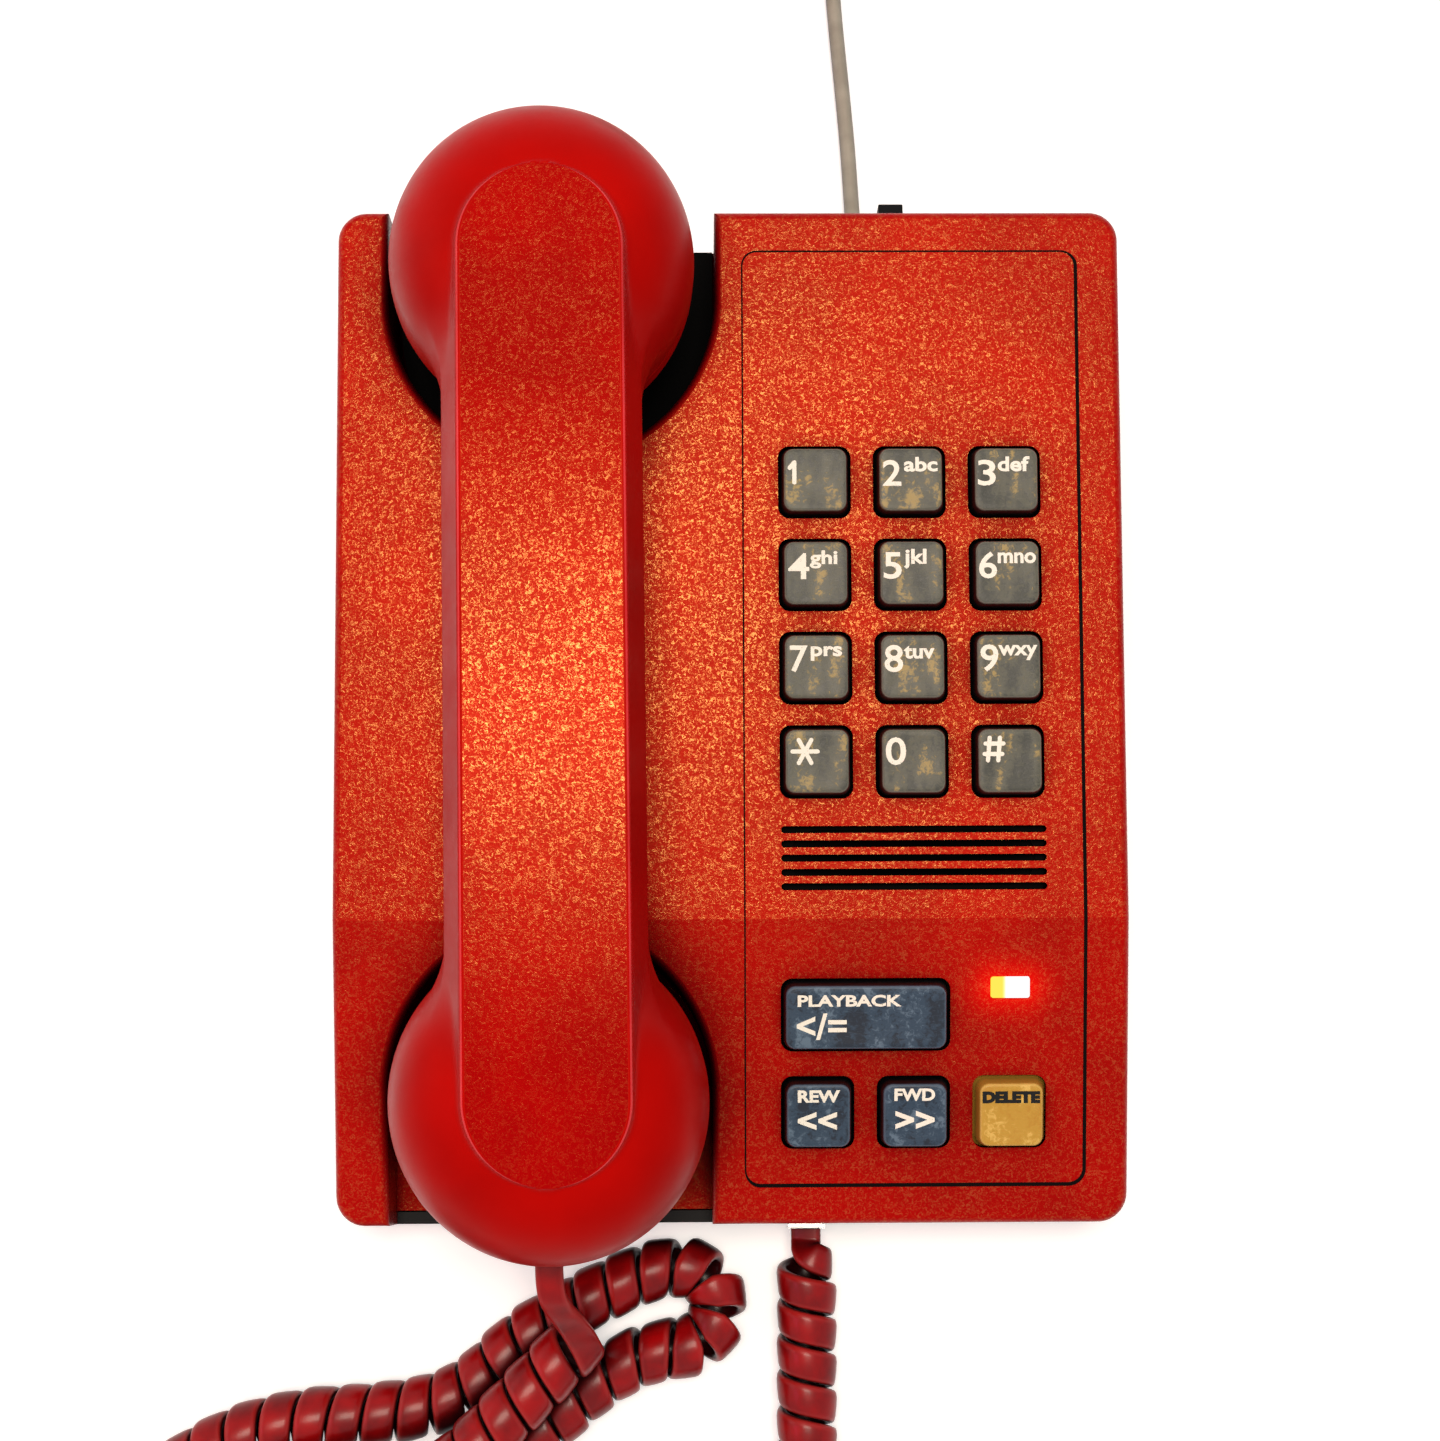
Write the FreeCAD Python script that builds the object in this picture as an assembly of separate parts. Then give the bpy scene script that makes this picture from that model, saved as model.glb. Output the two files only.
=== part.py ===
import FreeCAD, Part

import math
import os

# Desk telephone with a built-in answering machine: a wedge-shaped case with a face panel of keys
# on its right, and a handset that lies in two cups on its left.
# Millimetres. +Z is up, +Y is the back, +X is the keypad side. The part stands on z = 0.
# Flat drawings of the two sloping faces use (x, s, h): s runs up the slope from the crease
# between them, and h stands square to the face.

Vector = FreeCAD.Vector

# ---- where the handset's two ends lie, up the slope from the crease, and how wide they are ----
ear_s = 127.2
mouth_s = -34.1
ear_radius = 29.5
mouth_radius = 30.1

# ---- case ----
case_width = 158.0
half_width = case_width / 2
crease_height = 42.0
case_behind_ear = 15.7
case_before_mouth = 27.1
upper_length = ear_s + case_behind_ear
lower_length = case_before_mouth - mouth_s
upper_slope = 10.0
lower_slope = 16.27
seam_height = 14.0
foot_height = 2.0
case_wall = 2.4
case_corner = 5.8
case_edge = 1.6
fit_gap = 0.3
joint_gap = 0.2

# ---- cups that the handset lies in ----
cup_margin = 10.15
ear_cup_clearance = 3.45
mouth_cup_clearance = 2.15
ear_cup_radius = ear_radius + ear_cup_clearance
mouth_cup_radius = mouth_radius + mouth_cup_clearance
ear_cup_x = -half_width + cup_margin + ear_cup_radius
mouth_cup_x = ear_cup_x - 0.3
ear_cup_s = ear_s - 1.6
mouth_cup_s = mouth_s + 0.1
cradle_pad_thickness = 1.0

# ---- handset ----
ear_x = mouth_cup_x
mouth_x = mouth_cup_x + 1.0
equator_height = 14.0
band_height = 24.5
cup_depth = 30.7
cup_fullness = 42.0
dome_power = 2.8
dome_steps = 12
band_end_inset = 4.4
grip_x = mouth_x + 1.3
grip_top_width = 31.0
grip_width = 37.0
grip_shoulder = 8.5
grip_thickness = 20.0
grip_bottom_width = 26.0
neck_radius = 25.0
neck_sink = 0.5
neck_start = 4.0
neck_length = 48.0
neck_steps = 10
throat_radius = 14.0
band_spare = 1.0
handset_wall = 2.2
parting_rise = 9.0
cap_radius = 17.0
cap_thickness = 2.0
sound_hole = 1.6
receiver_height = 10.0
microphone_radius = 4.8
microphone_height = 7.0

# ---- face panel ----
panel_clearance = 5.75
panel_margin = 9.2
panel_left = ear_cup_x + ear_cup_radius + panel_clearance
panel_right = half_width - panel_margin
panel_width = panel_right - panel_left
panel_back_margin = 8.8
panel_front_margin = 8.1
panel_top = upper_length - panel_back_margin
panel_bottom = panel_front_margin - lower_length
panel_corner = 2.8
panel_thickness = 1.4
panel_seam = 0.25

# ---- keys ----
key_pitch_share = 0.28433
key_hole_share = 0.7664
key_pitch_x = panel_width * key_pitch_share
key_pitch_s = 18.7
key_middle_x = (panel_left + panel_right) / 2 - 0.25
key_first_s = 31.0
key_hole = key_pitch_x * key_hole_share
key_gap = 0.6
key_corner = 2.3
key_rise = 3.0
key_draft = 0.4
key_flange = 0.9
key_flange_height = 1.0
key_stem = 4.6
key_travel = 1.5
function_key_s = -38.75
playback_s = -19.2
playback_left = key_middle_x - key_pitch_x - key_hole / 2
playback_right = key_middle_x + key_hole / 2
led_left = key_middle_x + key_pitch_x - 3.8
led_right = key_middle_x + key_pitch_x + 4.1
led_low = -16.1
led_high = -11.7
led_radius = 1.5
mat_thickness = 1.2
mat_collar_height = 1.6
mat_collar_wall = 1.4
board_thickness = 1.6
board_margin = 1.5
board_ear = 5.2

# ---- speaker ----
slot_count = 5
slot_low = 6.3
slot_pitch = 2.82
slot_width = 1.4
slot_left = panel_left + 7.1
slot_right = panel_right - 7.2
speaker_length = slot_right - slot_left + 4.3
speaker_breadth = 17.0
speaker_rim = 2.0
speaker_depth = 12.0
magnet_radius = 7.0
magnet_height = 6.0

# ---- base and its parts ----
foot_radius = 6.0
foot_inset = 12.0
boss_radius = 3.5
screw_radius = 1.4
screw_head_radius = 2.7
screw_head_height = 2.0
main_board_height = 8.0
board_back_margin = 12.0
board_front_margin = 17.0
board_left = -half_width + 17.0
board_right = half_width - 13.0
socket_x = panel_left + 12.7
plug_width = 7.6
plug_height = 6.6
plug_length = 11.6
plug_stand_out = 1.4
socket_wall = 1.8
line_exit_x = key_middle_x - 5.05
line_exit_z = 9.0
grommet_length = 9.0
ringer_x = key_middle_x - 2.75
ringer_z = 60.8
ringer_travel = 2.5
knob_length = 5.0
knob_height = 4.0
knob_stand_out = 3.6
hook_travel = 5.0
hook_x = ear_cup_x - 0.1
hook_s = ear_s - 6.0
hook_width = 8.0
hook_reach = 16.0

# ---- parts on the main board ----
processor_size = 14.0
memory_length = 18.0
memory_width = 8.0
line_chip_length = 20.0
line_chip_width = 14.0
clock_chip_length = 10.0
clock_chip_width = 6.0
chip_height = 2.2
capacitor_radius = 5.0
capacitor_height = 12.0
small_capacitor_radius = 3.2
small_capacitor_height = 8.0
transformer_length = 16.0
transformer_width = 14.0
transformer_height = 14.0
transformer_leg = 3.0
winding_overhang = 3.5
ribbon_width = 22.0
ribbon_thickness = 0.7
ribbon_s = 80.0

# ---- screws and the weight in the grip ----
case_screw_head = 1.8
case_screw_reach = 10.0
board_screw_head = 1.2
board_screw_reach = 3.0
handset_screw_head = 1.2
handset_screw_reach = 7.0
weight_length = 48.0
weight_width = 14.0
weight_height = 7.0

# ---- cords ----
coil_diameter = 12.0
tail_diameter = 4.4
line_diameter = 3.7
ring_middle_radius = 20.5
ring_width = 15.0
ring_height = 13.0
ring_x = 6.5
ring_y = 226.0
line_plug_length = 12.0
line_plug_width = 9.6
line_plug_height = 6.6
tie_wall = 1.0
tie_width = 5.0

# ---- worked out from the sizes above ----
upper_angle = math.radians(upper_slope)
lower_angle = math.radians(lower_slope)
handset_middle = (ear_s + mouth_s) / 2
crease_y = (
    equator_height * math.sin(upper_angle)
    - handset_middle * math.cos(upper_angle)
    - (ear_radius - mouth_radius) / 2
)
back_y = crease_y + upper_length * math.cos(upper_angle)
back_z = crease_height + upper_length * math.sin(upper_angle)
front_y = crease_y - lower_length * math.cos(lower_angle)
front_z = crease_height - lower_length * math.sin(lower_angle)
board_back = back_y - board_back_margin
board_front = front_y + board_front_margin
board_face = main_board_height + board_thickness
cup_floor_depth = cup_depth - equator_height + fit_gap
band_top = equator_height + band_height
grip_bottom = band_top - grip_thickness
post_top = -(case_wall + panel_thickness) / 2
mat_top = -case_wall - key_flange_height - joint_gap - key_travel - joint_gap - mat_collar_height
board_top = mat_top - mat_thickness
key_stem_end = board_top + joint_gap + key_travel


# ---------------------------------------------------------------- small tools

def turned(shape, slope):
    """Put a shape drawn as (x, s, h) onto the face that has this slope."""
    moved = shape.copy()
    rotation = FreeCAD.Rotation(Vector(1, 0, 0), slope)
    onto = FreeCAD.Placement(Vector(0, crease_y, crease_height), rotation)
    moved.Placement = onto.multiply(shape.Placement)
    return moved


def on_upper(shape):
    return turned(shape, upper_slope)


def on_lower(shape):
    return turned(shape, lower_slope)


def upper_point(x, s, h):
    """The place in the case's own frame of a point drawn on the upper face."""
    y = crease_y + s * math.cos(upper_angle) - h * math.sin(upper_angle)
    z = crease_height + s * math.sin(upper_angle) + h * math.cos(upper_angle)
    return Vector(x, y, z)


def block(x0, x1, y0, y1, z0, z1):
    return Part.makeBox(x1 - x0, y1 - y0, z1 - z0, Vector(x0, y0, z0))


def rounded_outline(x0, x1, y0, y1, radius):
    """A rectangle with round corners, as a wire at z = 0."""
    edges = []
    corners = [
        (x1 - radius, y0 + radius, -90.0),
        (x1 - radius, y1 - radius, 0.0),
        (x0 + radius, y1 - radius, 90.0),
        (x0 + radius, y0 + radius, 180.0),
    ]
    arcs = []
    for x, y, start in corners:
        circle = Part.Circle(Vector(x, y, 0), Vector(0, 0, 1), radius)
        arcs.append(Part.Arc(circle, math.radians(start), math.radians(start + 90)).toShape())
    for index, arc in enumerate(arcs):
        following = arcs[(index + 1) % len(arcs)]
        edges.append(arc)
        edges.append(Part.makeLine(arc.Vertexes[-1].Point, following.Vertexes[0].Point))
    return Part.Wire(Part.__sortEdges__(edges))


def rounded_block(x0, x1, y0, y1, z0, z1, radius):
    face = Part.Face(rounded_outline(x0, x1, y0, y1, radius))
    solid = face.extrude(Vector(0, 0, z1 - z0))
    solid.translate(Vector(0, 0, z0))
    return solid


def drum(x, y, z0, z1, radius):
    return Part.makeCylinder(radius, z1 - z0, Vector(x, y, z0))


def prism_across(points, x0, x1):
    """A polygon drawn as (y, z), carried along x from x0 to x1."""
    corners = [Vector(x0, y, z) for y, z in points]
    face = Part.Face(Part.makePolygon(corners + [corners[0]]))
    return face.extrude(Vector(x1 - x0, 0, 0))


def joined(shapes):
    first = shapes[0]
    return first.fuse(shapes[1:]).removeSplitter()


def tube(points, diameter):
    """Straight runs joined by tangent arcs, each as large as its two runs allow."""
    edges = []
    radii = []
    last = points[0]
    for before, corner, after in zip(points, points[1:], points[2:]):
        inward = (corner - before).normalize()
        outward = (after - corner).normalize()
        half_turn = inward.getAngle(outward) / 2
        cut = 0.45 * min((corner - before).Length, (after - corner).Length)
        radii.append(cut / math.tan(half_turn))
        start = corner - inward * cut
        end = corner + outward * cut
        toward_middle = (outward - inward).normalize()
        sagitta = radii[-1] / math.cos(half_turn) - radii[-1]
        middle = corner + toward_middle * sagitta
        edges.append(Part.LineSegment(last, start).toShape())
        edges.append(Part.Arc(start, middle, end).toShape())
        last = end
    edges.append(Part.LineSegment(last, points[-1]).toShape())
    path = Part.Wire(edges)
    section = Part.Wire(Part.makeCircle(diameter / 2, points[0], points[1] - points[0]))
    solid = path.makePipeShell([section], True, False)
    expected = math.pi * diameter ** 2 / 4 * path.Length
    shortest = min(radii) / diameter
    print(f"tube of {diameter} mm: length {path.Length:.0f} mm, least radius {min(radii):.1f} mm")
    print(f"  that is {shortest:.1f} diameters; volume over section times length "
          f"{solid.Volume / expected:.4f}; radii {[round(r) for r in radii]}")
    return solid


# ---------------------------------------------------------------- the case

def wedge(inset, bottom):
    """The case's wedge with every outer wall, edge and face moved in by inset."""
    upper_drop = inset / math.cos(upper_angle)
    lower_drop = inset / math.cos(lower_angle)
    y0 = front_y + inset
    y1 = back_y - inset
    mean = (upper_angle + lower_angle) / 2
    bend = (lower_angle - upper_angle) / 2
    crease_drop = inset * math.cos(mean) / math.cos(bend)
    crease_shift = inset * math.sin(mean) / math.cos(bend)
    front_top = front_z - lower_drop + inset * math.tan(lower_angle)
    back_top = back_z - upper_drop - inset * math.tan(upper_angle)
    side = [
        (y0, bottom),
        (y0, front_top),
        (crease_y + crease_shift, crease_height - crease_drop),
        (y1, back_top),
        (y1, bottom),
    ]
    profile = prism_across(side, -half_width, half_width)
    corner = case_corner - inset
    plan = rounded_block(-half_width + inset, half_width - inset, y0, y1, bottom, back_z, corner)
    return profile.common(plan)


def cup_y(s, slope_angle):
    return crease_y + s * math.cos(slope_angle)


def cup_prism(x, y, radius, far_y, floor_drop):
    """A slot with a round inner end, open to far_y, above a floor that follows the upper face."""
    low = min(y, far_y)
    high = max(y, far_y)
    round_end = drum(x, y, 0, back_z * 2, radius)
    straight = block(x - radius, x + radius, low, high, 0, back_z * 2)
    outline = joined([round_end, straight])
    reach = 2 * radius + lower_length
    above = block(-case_width, case_width, -reach - case_width, case_width * 2, -floor_drop, case_width)
    return outline.common(on_upper(above))


def ear_cup(grow):
    y = cup_y(ear_cup_s, upper_angle)
    return cup_prism(ear_cup_x, y, ear_cup_radius + grow, back_y + case_wall,
                     cup_floor_depth + cradle_pad_thickness + grow)


def mouth_cup(grow):
    y = cup_y(mouth_cup_s, lower_angle)
    far_y = front_y - case_wall
    return cup_prism(mouth_cup_x, y, mouth_cup_radius + grow, far_y, cup_floor_depth + grow)


def is_face_edge(edge):
    """True for an edge that runs round the top faces, where the case is rounded over."""
    rises = [abs(tilt_height(vertex.Point)) < 0.01 for vertex in edge.Vertexes]
    middle = edge.valueAt((edge.FirstParameter + edge.LastParameter) / 2)
    return all(rises) and abs(tilt_height(middle)) < 0.01


def tilt_height(point):
    """Height of a point over the top faces, measured upright."""
    if point.y >= crease_y:
        return point.z - crease_height - (point.y - crease_y) * math.tan(upper_angle)
    return point.z - crease_height - (point.y - crease_y) * math.tan(lower_angle)


def is_crease(edge):
    return all(abs(vertex.Point.y - crease_y) < 0.01 for vertex in edge.Vertexes)


def outer_case():
    body = wedge(0, seam_height).cut(ear_cup(0)).cut(mouth_cup(0))
    edges = [edge for edge in body.Edges if is_face_edge(edge) and not is_crease(edge)]
    return body.makeFillet(case_edge, edges)


def inner_case():
    body = wedge(case_wall, seam_height - 1.0)
    return body.cut(ear_cup(case_wall)).cut(mouth_cup(case_wall))


def boss_places():
    """Where the four case screws stand, as (x, y)."""
    right = half_width - 7.0
    left = -half_width + 11.0
    return [
        (right, front_y + 7.0),
        (right, back_y - 13.0),
        (left, crease_y + 35.0),
        (left, crease_y + 87.0),
    ]


def panel_outline(grow, low, high):
    """The face panel's outline on both slopes, from height low to height high."""
    x0 = panel_left - grow
    x1 = panel_right + grow
    far = panel_top + grow
    near = panel_bottom - grow
    radius = panel_corner + grow
    upper = rounded_block(x0, x1, -panel_corner * 4, far, low, high, radius)
    lower = rounded_block(x0, x1, near, panel_corner * 4, low, high, radius)
    upper_side = block(-case_width, case_width, crease_y, back_y * 2, 0, back_z * 2)
    lower_side = block(-case_width, case_width, front_y * 2, crease_y, 0, back_z * 2)
    return joined([on_upper(upper).common(upper_side), on_lower(lower).common(lower_side)])


def number_key_places():
    """Each number key's name, with its place (x, s) on the upper face."""
    rows = [
        ["key_star", "key_0", "key_hash"],
        ["key_7", "key_8", "key_9"],
        ["key_4", "key_5", "key_6"],
        ["key_1", "key_2", "key_3"],
    ]
    places = {}
    for row, names in enumerate(rows):
        for column, name in enumerate(names):
            x = key_middle_x + (column - 1) * key_pitch_x
            places[name] = (x, key_first_s + row * key_pitch_s)
    return places


def function_key_boxes():
    """Each function key's name, with its hole as (x0, x1, s0, s1) on the lower face."""
    half = key_hole / 2
    boxes = {"playback_key": (playback_left, playback_right, playback_s - half, playback_s + half)}
    for column, name in enumerate(["rewind_key", "forward_key", "delete_key"]):
        x = key_middle_x + (column - 1) * key_pitch_x
        boxes[name] = (x - half, x + half, function_key_s - half, function_key_s + half)
    return boxes


def number_key_boxes():
    half = key_hole / 2
    return {name: (x - half, x + half, s - half, s + half)
            for name, (x, s) in number_key_places().items()}


def hole_through(box, grow):
    x0, x1, s0, s1 = box
    return rounded_block(x0 - grow, x1 + grow, s0 - grow, s1 + grow,
                         -3 * case_wall, 3 * case_wall, key_corner + grow)


def speaker_slots():
    slots = []
    for index in range(slot_count):
        s = slot_low + index * slot_pitch
        radius = slot_width * 0.49
        slots.append(rounded_block(slot_left, slot_right, s - slot_width / 2, s + slot_width / 2,
                                   -3 * case_wall, 3 * case_wall, radius))
    return slots


def led_hole(grow):
    return rounded_block(led_left - grow, led_right + grow, led_low - grow, led_high + grow,
                         -3 * case_wall, 3 * case_wall, 0.6 + grow)


def face_holes(grow):
    """Everything that goes through the panel: key holes, speaker slots and the lamp's window."""
    upper = [hole_through(box, grow) for box in number_key_boxes().values()]
    lower = [hole_through(box, grow) for box in function_key_boxes().values()]
    lower.append(led_hole(grow))
    holes = [on_upper(hole) for hole in upper] + [on_lower(hole) for hole in lower]
    return holes


def case_posts():
    """Posts under the face that the case screws and the board screws go into."""
    posts = []
    for x, y in boss_places():
        post = drum(x, y, seam_height, back_z, boss_radius)
        post = post.cut(drum(x, y, seam_height - 1, seam_height + 12, screw_radius + 0.1))
        posts.append(post.common(wedge(-post_top, seam_height)))
    for x, s in number_board_screws():
        post = drum(x, s, board_top, post_top, 2.2)
        posts.append(on_upper(post.cut(drum(x, s, board_top - 1, -case_wall, 0.9))))
    for x, s in function_board_screws():
        post = drum(x, s, board_top, post_top, 2.2)
        posts.append(on_lower(post.cut(drum(x, s, board_top - 1, -case_wall, 0.9))))
    return posts


def make_upper_case():
    shell = outer_case().cut(inner_case())
    front_slot = block(mouth_cup_x - mouth_cup_radius, mouth_cup_x + mouth_cup_radius,
                       front_y - 1, front_y + case_wall + fit_gap, 0, front_z * 2)
    shell = shell.cut(front_slot)
    shell = shell.cut(panel_outline(panel_seam, -panel_thickness, case_wall))
    shell = shell.cut([on_upper(slot) for slot in speaker_slots()] + face_holes(0.4))
    shell = joined([shell] + case_posts())
    back_holes = [
        block(ringer_x - knob_length / 2 - ringer_travel - 0.4, ringer_x + knob_length / 2
              + ringer_travel + 0.4, back_y - 2 * case_wall, back_y + 1,
              ringer_z - knob_height / 2 - 0.3, ringer_z + knob_height / 2 + 0.3),
        hook_hole(),
    ]
    return shell.cut(back_holes)


def make_face_panel():
    panel = panel_outline(0, -panel_thickness, 0)
    return panel.cut([on_upper(slot) for slot in speaker_slots()] + face_holes(0))


# ---------------------------------------------------------------- keys and their boards

def make_key(box):
    """A drafted cap over a flange that the case holds down, with a stem below."""
    x0 = box[0] + key_gap
    x1 = box[1] - key_gap
    s0 = box[2] + key_gap
    s1 = box[3] - key_gap
    radius = key_corner - key_gap / 2
    foot = rounded_outline(x0, x1, s0, s1, radius)
    shoulder = foot.copy()
    foot.translate(Vector(0, 0, -case_wall - joint_gap))
    top = rounded_outline(x0 + key_draft, x1 - key_draft, s0 + key_draft, s1 - key_draft,
                          radius - key_draft / 2)
    top.translate(Vector(0, 0, key_rise))
    lower = Part.makeLoft([foot, shoulder], True, True)
    cap = Part.makeLoft([shoulder, top], True, True)
    reach = key_gap + key_flange
    flange_top = -case_wall - joint_gap
    flange = rounded_block(x0 - reach, x1 + reach, s0 - reach, s1 + reach,
                           flange_top - key_flange_height, flange_top, key_corner)
    stem = drum((x0 + x1) / 2, (s0 + s1) / 2, key_stem_end, flange_top, key_stem / 2)
    rounded = cap.makeFillet(0.5, [edge for edge in cap.Edges if edge.BoundBox.ZMin > key_rise - 0.01])
    return joined([rounded, lower, flange, stem])


def span_of(boxes):
    """The smallest rectangle round a set of key holes."""
    x0 = min(box[0] for box in boxes)
    x1 = max(box[1] for box in boxes)
    s0 = min(box[2] for box in boxes)
    s1 = max(box[3] for box in boxes)
    return x0 - board_margin, x1 + board_margin, s0 - board_margin, s1 + board_margin


def number_board_span():
    return span_of(list(number_key_boxes().values()))


def function_board_span():
    return span_of(list(function_key_boxes().values()) + [(led_left, led_right, led_low, led_high)])


def screw_places(span):
    x0, x1, s0, s1 = span
    edge = board_ear / 2
    return [(x0 - edge, s0 + edge), (x1 + edge, s0 + edge), (x0 - edge, s1 - edge), (x1 + edge, s1 - edge)]


def number_board_screws():
    return screw_places(number_board_span())


def function_board_screws():
    return screw_places(function_board_span())


def make_board(span):
    """A board under a key mat, with ears for its four screws."""
    x0, x1, s0, s1 = span
    ear = board_ear
    low = board_top - board_thickness
    plate = block(x0, x1, s0, s1, low, board_top)
    ears = [block(x0 - ear, x1 + ear, s0, s0 + ear, low, board_top),
            block(x0 - ear, x1 + ear, s1 - ear, s1, low, board_top)]
    board = joined([plate] + ears)
    holes = [drum(x, s, low - 1, board_top + 1, 1.1) for x, s in screw_places(span)]
    return board.cut(holes)


def make_mat(span, boxes):
    """A rubber sheet with a collar round each key's stem."""
    x0, x1, s0, s1 = span
    sheet = block(x0, x1, s0, s1, board_top, mat_top)
    inner = key_stem / 2 + 0.3
    collars = []
    bores = []
    for hole in boxes:
        x = (hole[0] + hole[1]) / 2
        s = (hole[2] + hole[3]) / 2
        collars.append(drum(x, s, mat_top, mat_top + mat_collar_height, inner + mat_collar_wall))
        bores.append(drum(x, s, board_top - 1, mat_top + mat_collar_height + 1, inner))
    return joined([sheet] + collars).cut(bores)


def led_middle(height):
    return Vector((led_left + led_right) / 2, (led_low + led_high) / 2, height)


def led_body(grow, top):
    middle = led_middle(0)
    return drum(middle.x, middle.y, board_top, top, led_radius + grow)


def make_function_key_mat():
    """The function keys' mat, open where the lamp stands through it."""
    mat = make_mat(function_board_span(), list(function_key_boxes().values()))
    return mat.cut(led_body(joint_gap, 0))


def make_led():
    """A small lamp on the function board, under its lens."""
    top = -case_wall - led_radius
    return led_body(0, top).fuse(Part.makeSphere(led_radius, led_middle(top))).removeSplitter()


def make_led_lens():
    plug = rounded_block(led_left + 0.1, led_right - 0.1, led_low + 0.1, led_high - 0.1,
                         -case_wall, -0.1, 0.5)
    rim = rounded_block(led_left - 1, led_right + 1, led_low - 1, led_high + 1,
                        -case_wall - 0.8, -case_wall, 0.8)
    bore = drum((led_left + led_right) / 2, (led_low + led_high) / 2, -case_wall - 1, -1.6, 1.7)
    return joined([plug, rim]).cut(bore)


def board_screw(x, s):
    low = board_top - board_thickness
    head = drum(x, s, low - 1.2, low, 1.9)
    shank = drum(x, s, low, low + board_thickness + 2.5, 0.8)
    return head.fuse(shank).removeSplitter()


def make_board_screws():
    screws = [on_upper(board_screw(x, s)) for x, s in number_board_screws()]
    screws += [on_lower(board_screw(x, s)) for x, s in function_board_screws()]
    screws += [main_board_screw(x, y) for x, y in main_post_places()]
    return Part.makeCompound(screws)


# ---------------------------------------------------------------- speaker

def racetrack(length, breadth, s, z0, z1):
    x = (slot_left + slot_right) / 2
    return rounded_block(x - length / 2, x + length / 2, s - breadth / 2, s + breadth / 2,
                         z0, z1, breadth / 2 - 0.01)


def speaker_s():
    return slot_low + slot_pitch * (slot_count - 1) / 2


def make_speaker_frame():
    """An oval basket whose rim lies against the inside of the face."""
    s = speaker_s()
    top = -case_wall
    rim = racetrack(speaker_length, speaker_breadth, s, top - speaker_rim, top)
    basket = racetrack(speaker_length - 6, speaker_breadth - 4, s, top - speaker_depth, top)
    hollow = racetrack(speaker_length - 8, speaker_breadth - 6, s, top - speaker_depth + 1.2, top + 1)
    frame = joined([rim, basket]).cut(hollow)
    return frame


def racetrack_wire(length, breadth, s, z):
    x = (slot_left + slot_right) / 2
    wire = rounded_outline(x - length / 2, x + length / 2, s - breadth / 2, s + breadth / 2,
                           breadth / 2 - 0.01)
    wire.translate(Vector(0, 0, z))
    return wire


def make_speaker_cone():
    """A dished paper cone inside the basket, glued round its rim."""
    s = speaker_s()
    top = -case_wall - 1.0
    length = speaker_length - 8
    breadth = speaker_breadth - 6
    back = Part.makeLoft([racetrack_wire(length, breadth, s, top),
                          racetrack_wire(12.0, 5.0, s, top - 7.0)], True, True)
    front = Part.makeLoft([racetrack_wire(length - 1.6, breadth - 1.6, s, top),
                           racetrack_wire(10.4, 3.4, s, top - 6.2)], True, True)
    return back.cut(front)


def make_speaker_magnet():
    x = (slot_left + slot_right) / 2
    low = -case_wall - speaker_depth
    return drum(x, speaker_s(), low - magnet_height, low, magnet_radius)


# ---------------------------------------------------------------- the base and what it holds

def socket_middle():
    """Height of the middle of the handset socket and of its plug."""
    return seam_height - case_wall - plug_height / 2 - joint_gap


def socket_span():
    """The handset socket's room in the front wall, as (x0, x1, z0, z1)."""
    half = plug_width / 2 + joint_gap
    half_height = plug_height / 2 + joint_gap
    middle = socket_middle()
    return socket_x - half, socket_x + half, middle - half_height, middle + half_height


def make_lower_case():
    """An open tray with screw posts, board posts and holes for the two cords."""
    corner = case_corner
    tray = rounded_block(-half_width, half_width, front_y, back_y, foot_height, seam_height, corner)
    floor = foot_height + case_wall
    room = rounded_block(-half_width + case_wall, half_width - case_wall, front_y + case_wall,
                         back_y - case_wall, floor, seam_height + 1, corner - case_wall)
    tray = tray.cut(room)
    posts = [drum(x, y, floor - 0.5, seam_height, boss_radius + 0.8) for x, y in boss_places()]
    posts += [drum(x, y, floor - 0.5, main_board_height, 2.6) for x, y in main_post_places()]
    tray = joined([tray] + posts)
    bores = [drum(x, y, 0, seam_height + 1, screw_radius + 0.15) for x, y in boss_places()]
    bores += [drum(x, y, 0, foot_height + screw_head_height, screw_head_radius + 0.2)
              for x, y in boss_places()]
    bores += [drum(x, y, floor, seam_height, 0.9) for x, y in main_post_places()]
    x0, x1, z0, z1 = socket_span()
    bores.append(block(x0, x1, front_y - 1, front_y + case_wall + 1, z0, z1))
    bores.append(grommet_neck(joint_gap))
    return tray.cut(bores)


def main_post_places():
    left = board_left + 6.0
    right = board_right - 6.0
    back = board_back - 14.0
    return [(left, crease_y + 4.0), (left, back), (right, back), (right, board_front + 15.0)]


def make_main_board():
    """The main board: wide under the handset's grip, narrow beside the mouthpiece cup."""
    low = main_board_height
    high = board_face
    wide = block(board_left, board_right, crease_y - 2.0, board_back, low, high)
    narrow = block(panel_left + 3.2, board_right, board_front, crease_y, low, high)
    holes = [drum(x, y, low - 1, high + 1, 1.1) for x, y in main_post_places()]
    clear = [drum(x, y, low - 1, high + 1, boss_radius + 1.3) for x, y in boss_places()]
    return joined([wide, narrow]).cut(holes + clear)


def main_board_screw(x, y):
    head = drum(x, y, board_face, board_face + board_screw_head, 1.9)
    shank = drum(x, y, main_board_height - board_screw_reach, board_face, 0.8)
    return head.fuse(shank).removeSplitter()


def on_board(x, y, length, breadth, height):
    """A part that stands on the main board, centred on (x, y)."""
    return block(x - length / 2, x + length / 2, y - breadth / 2, y + breadth / 2,
                 board_face, board_face + height)


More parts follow.
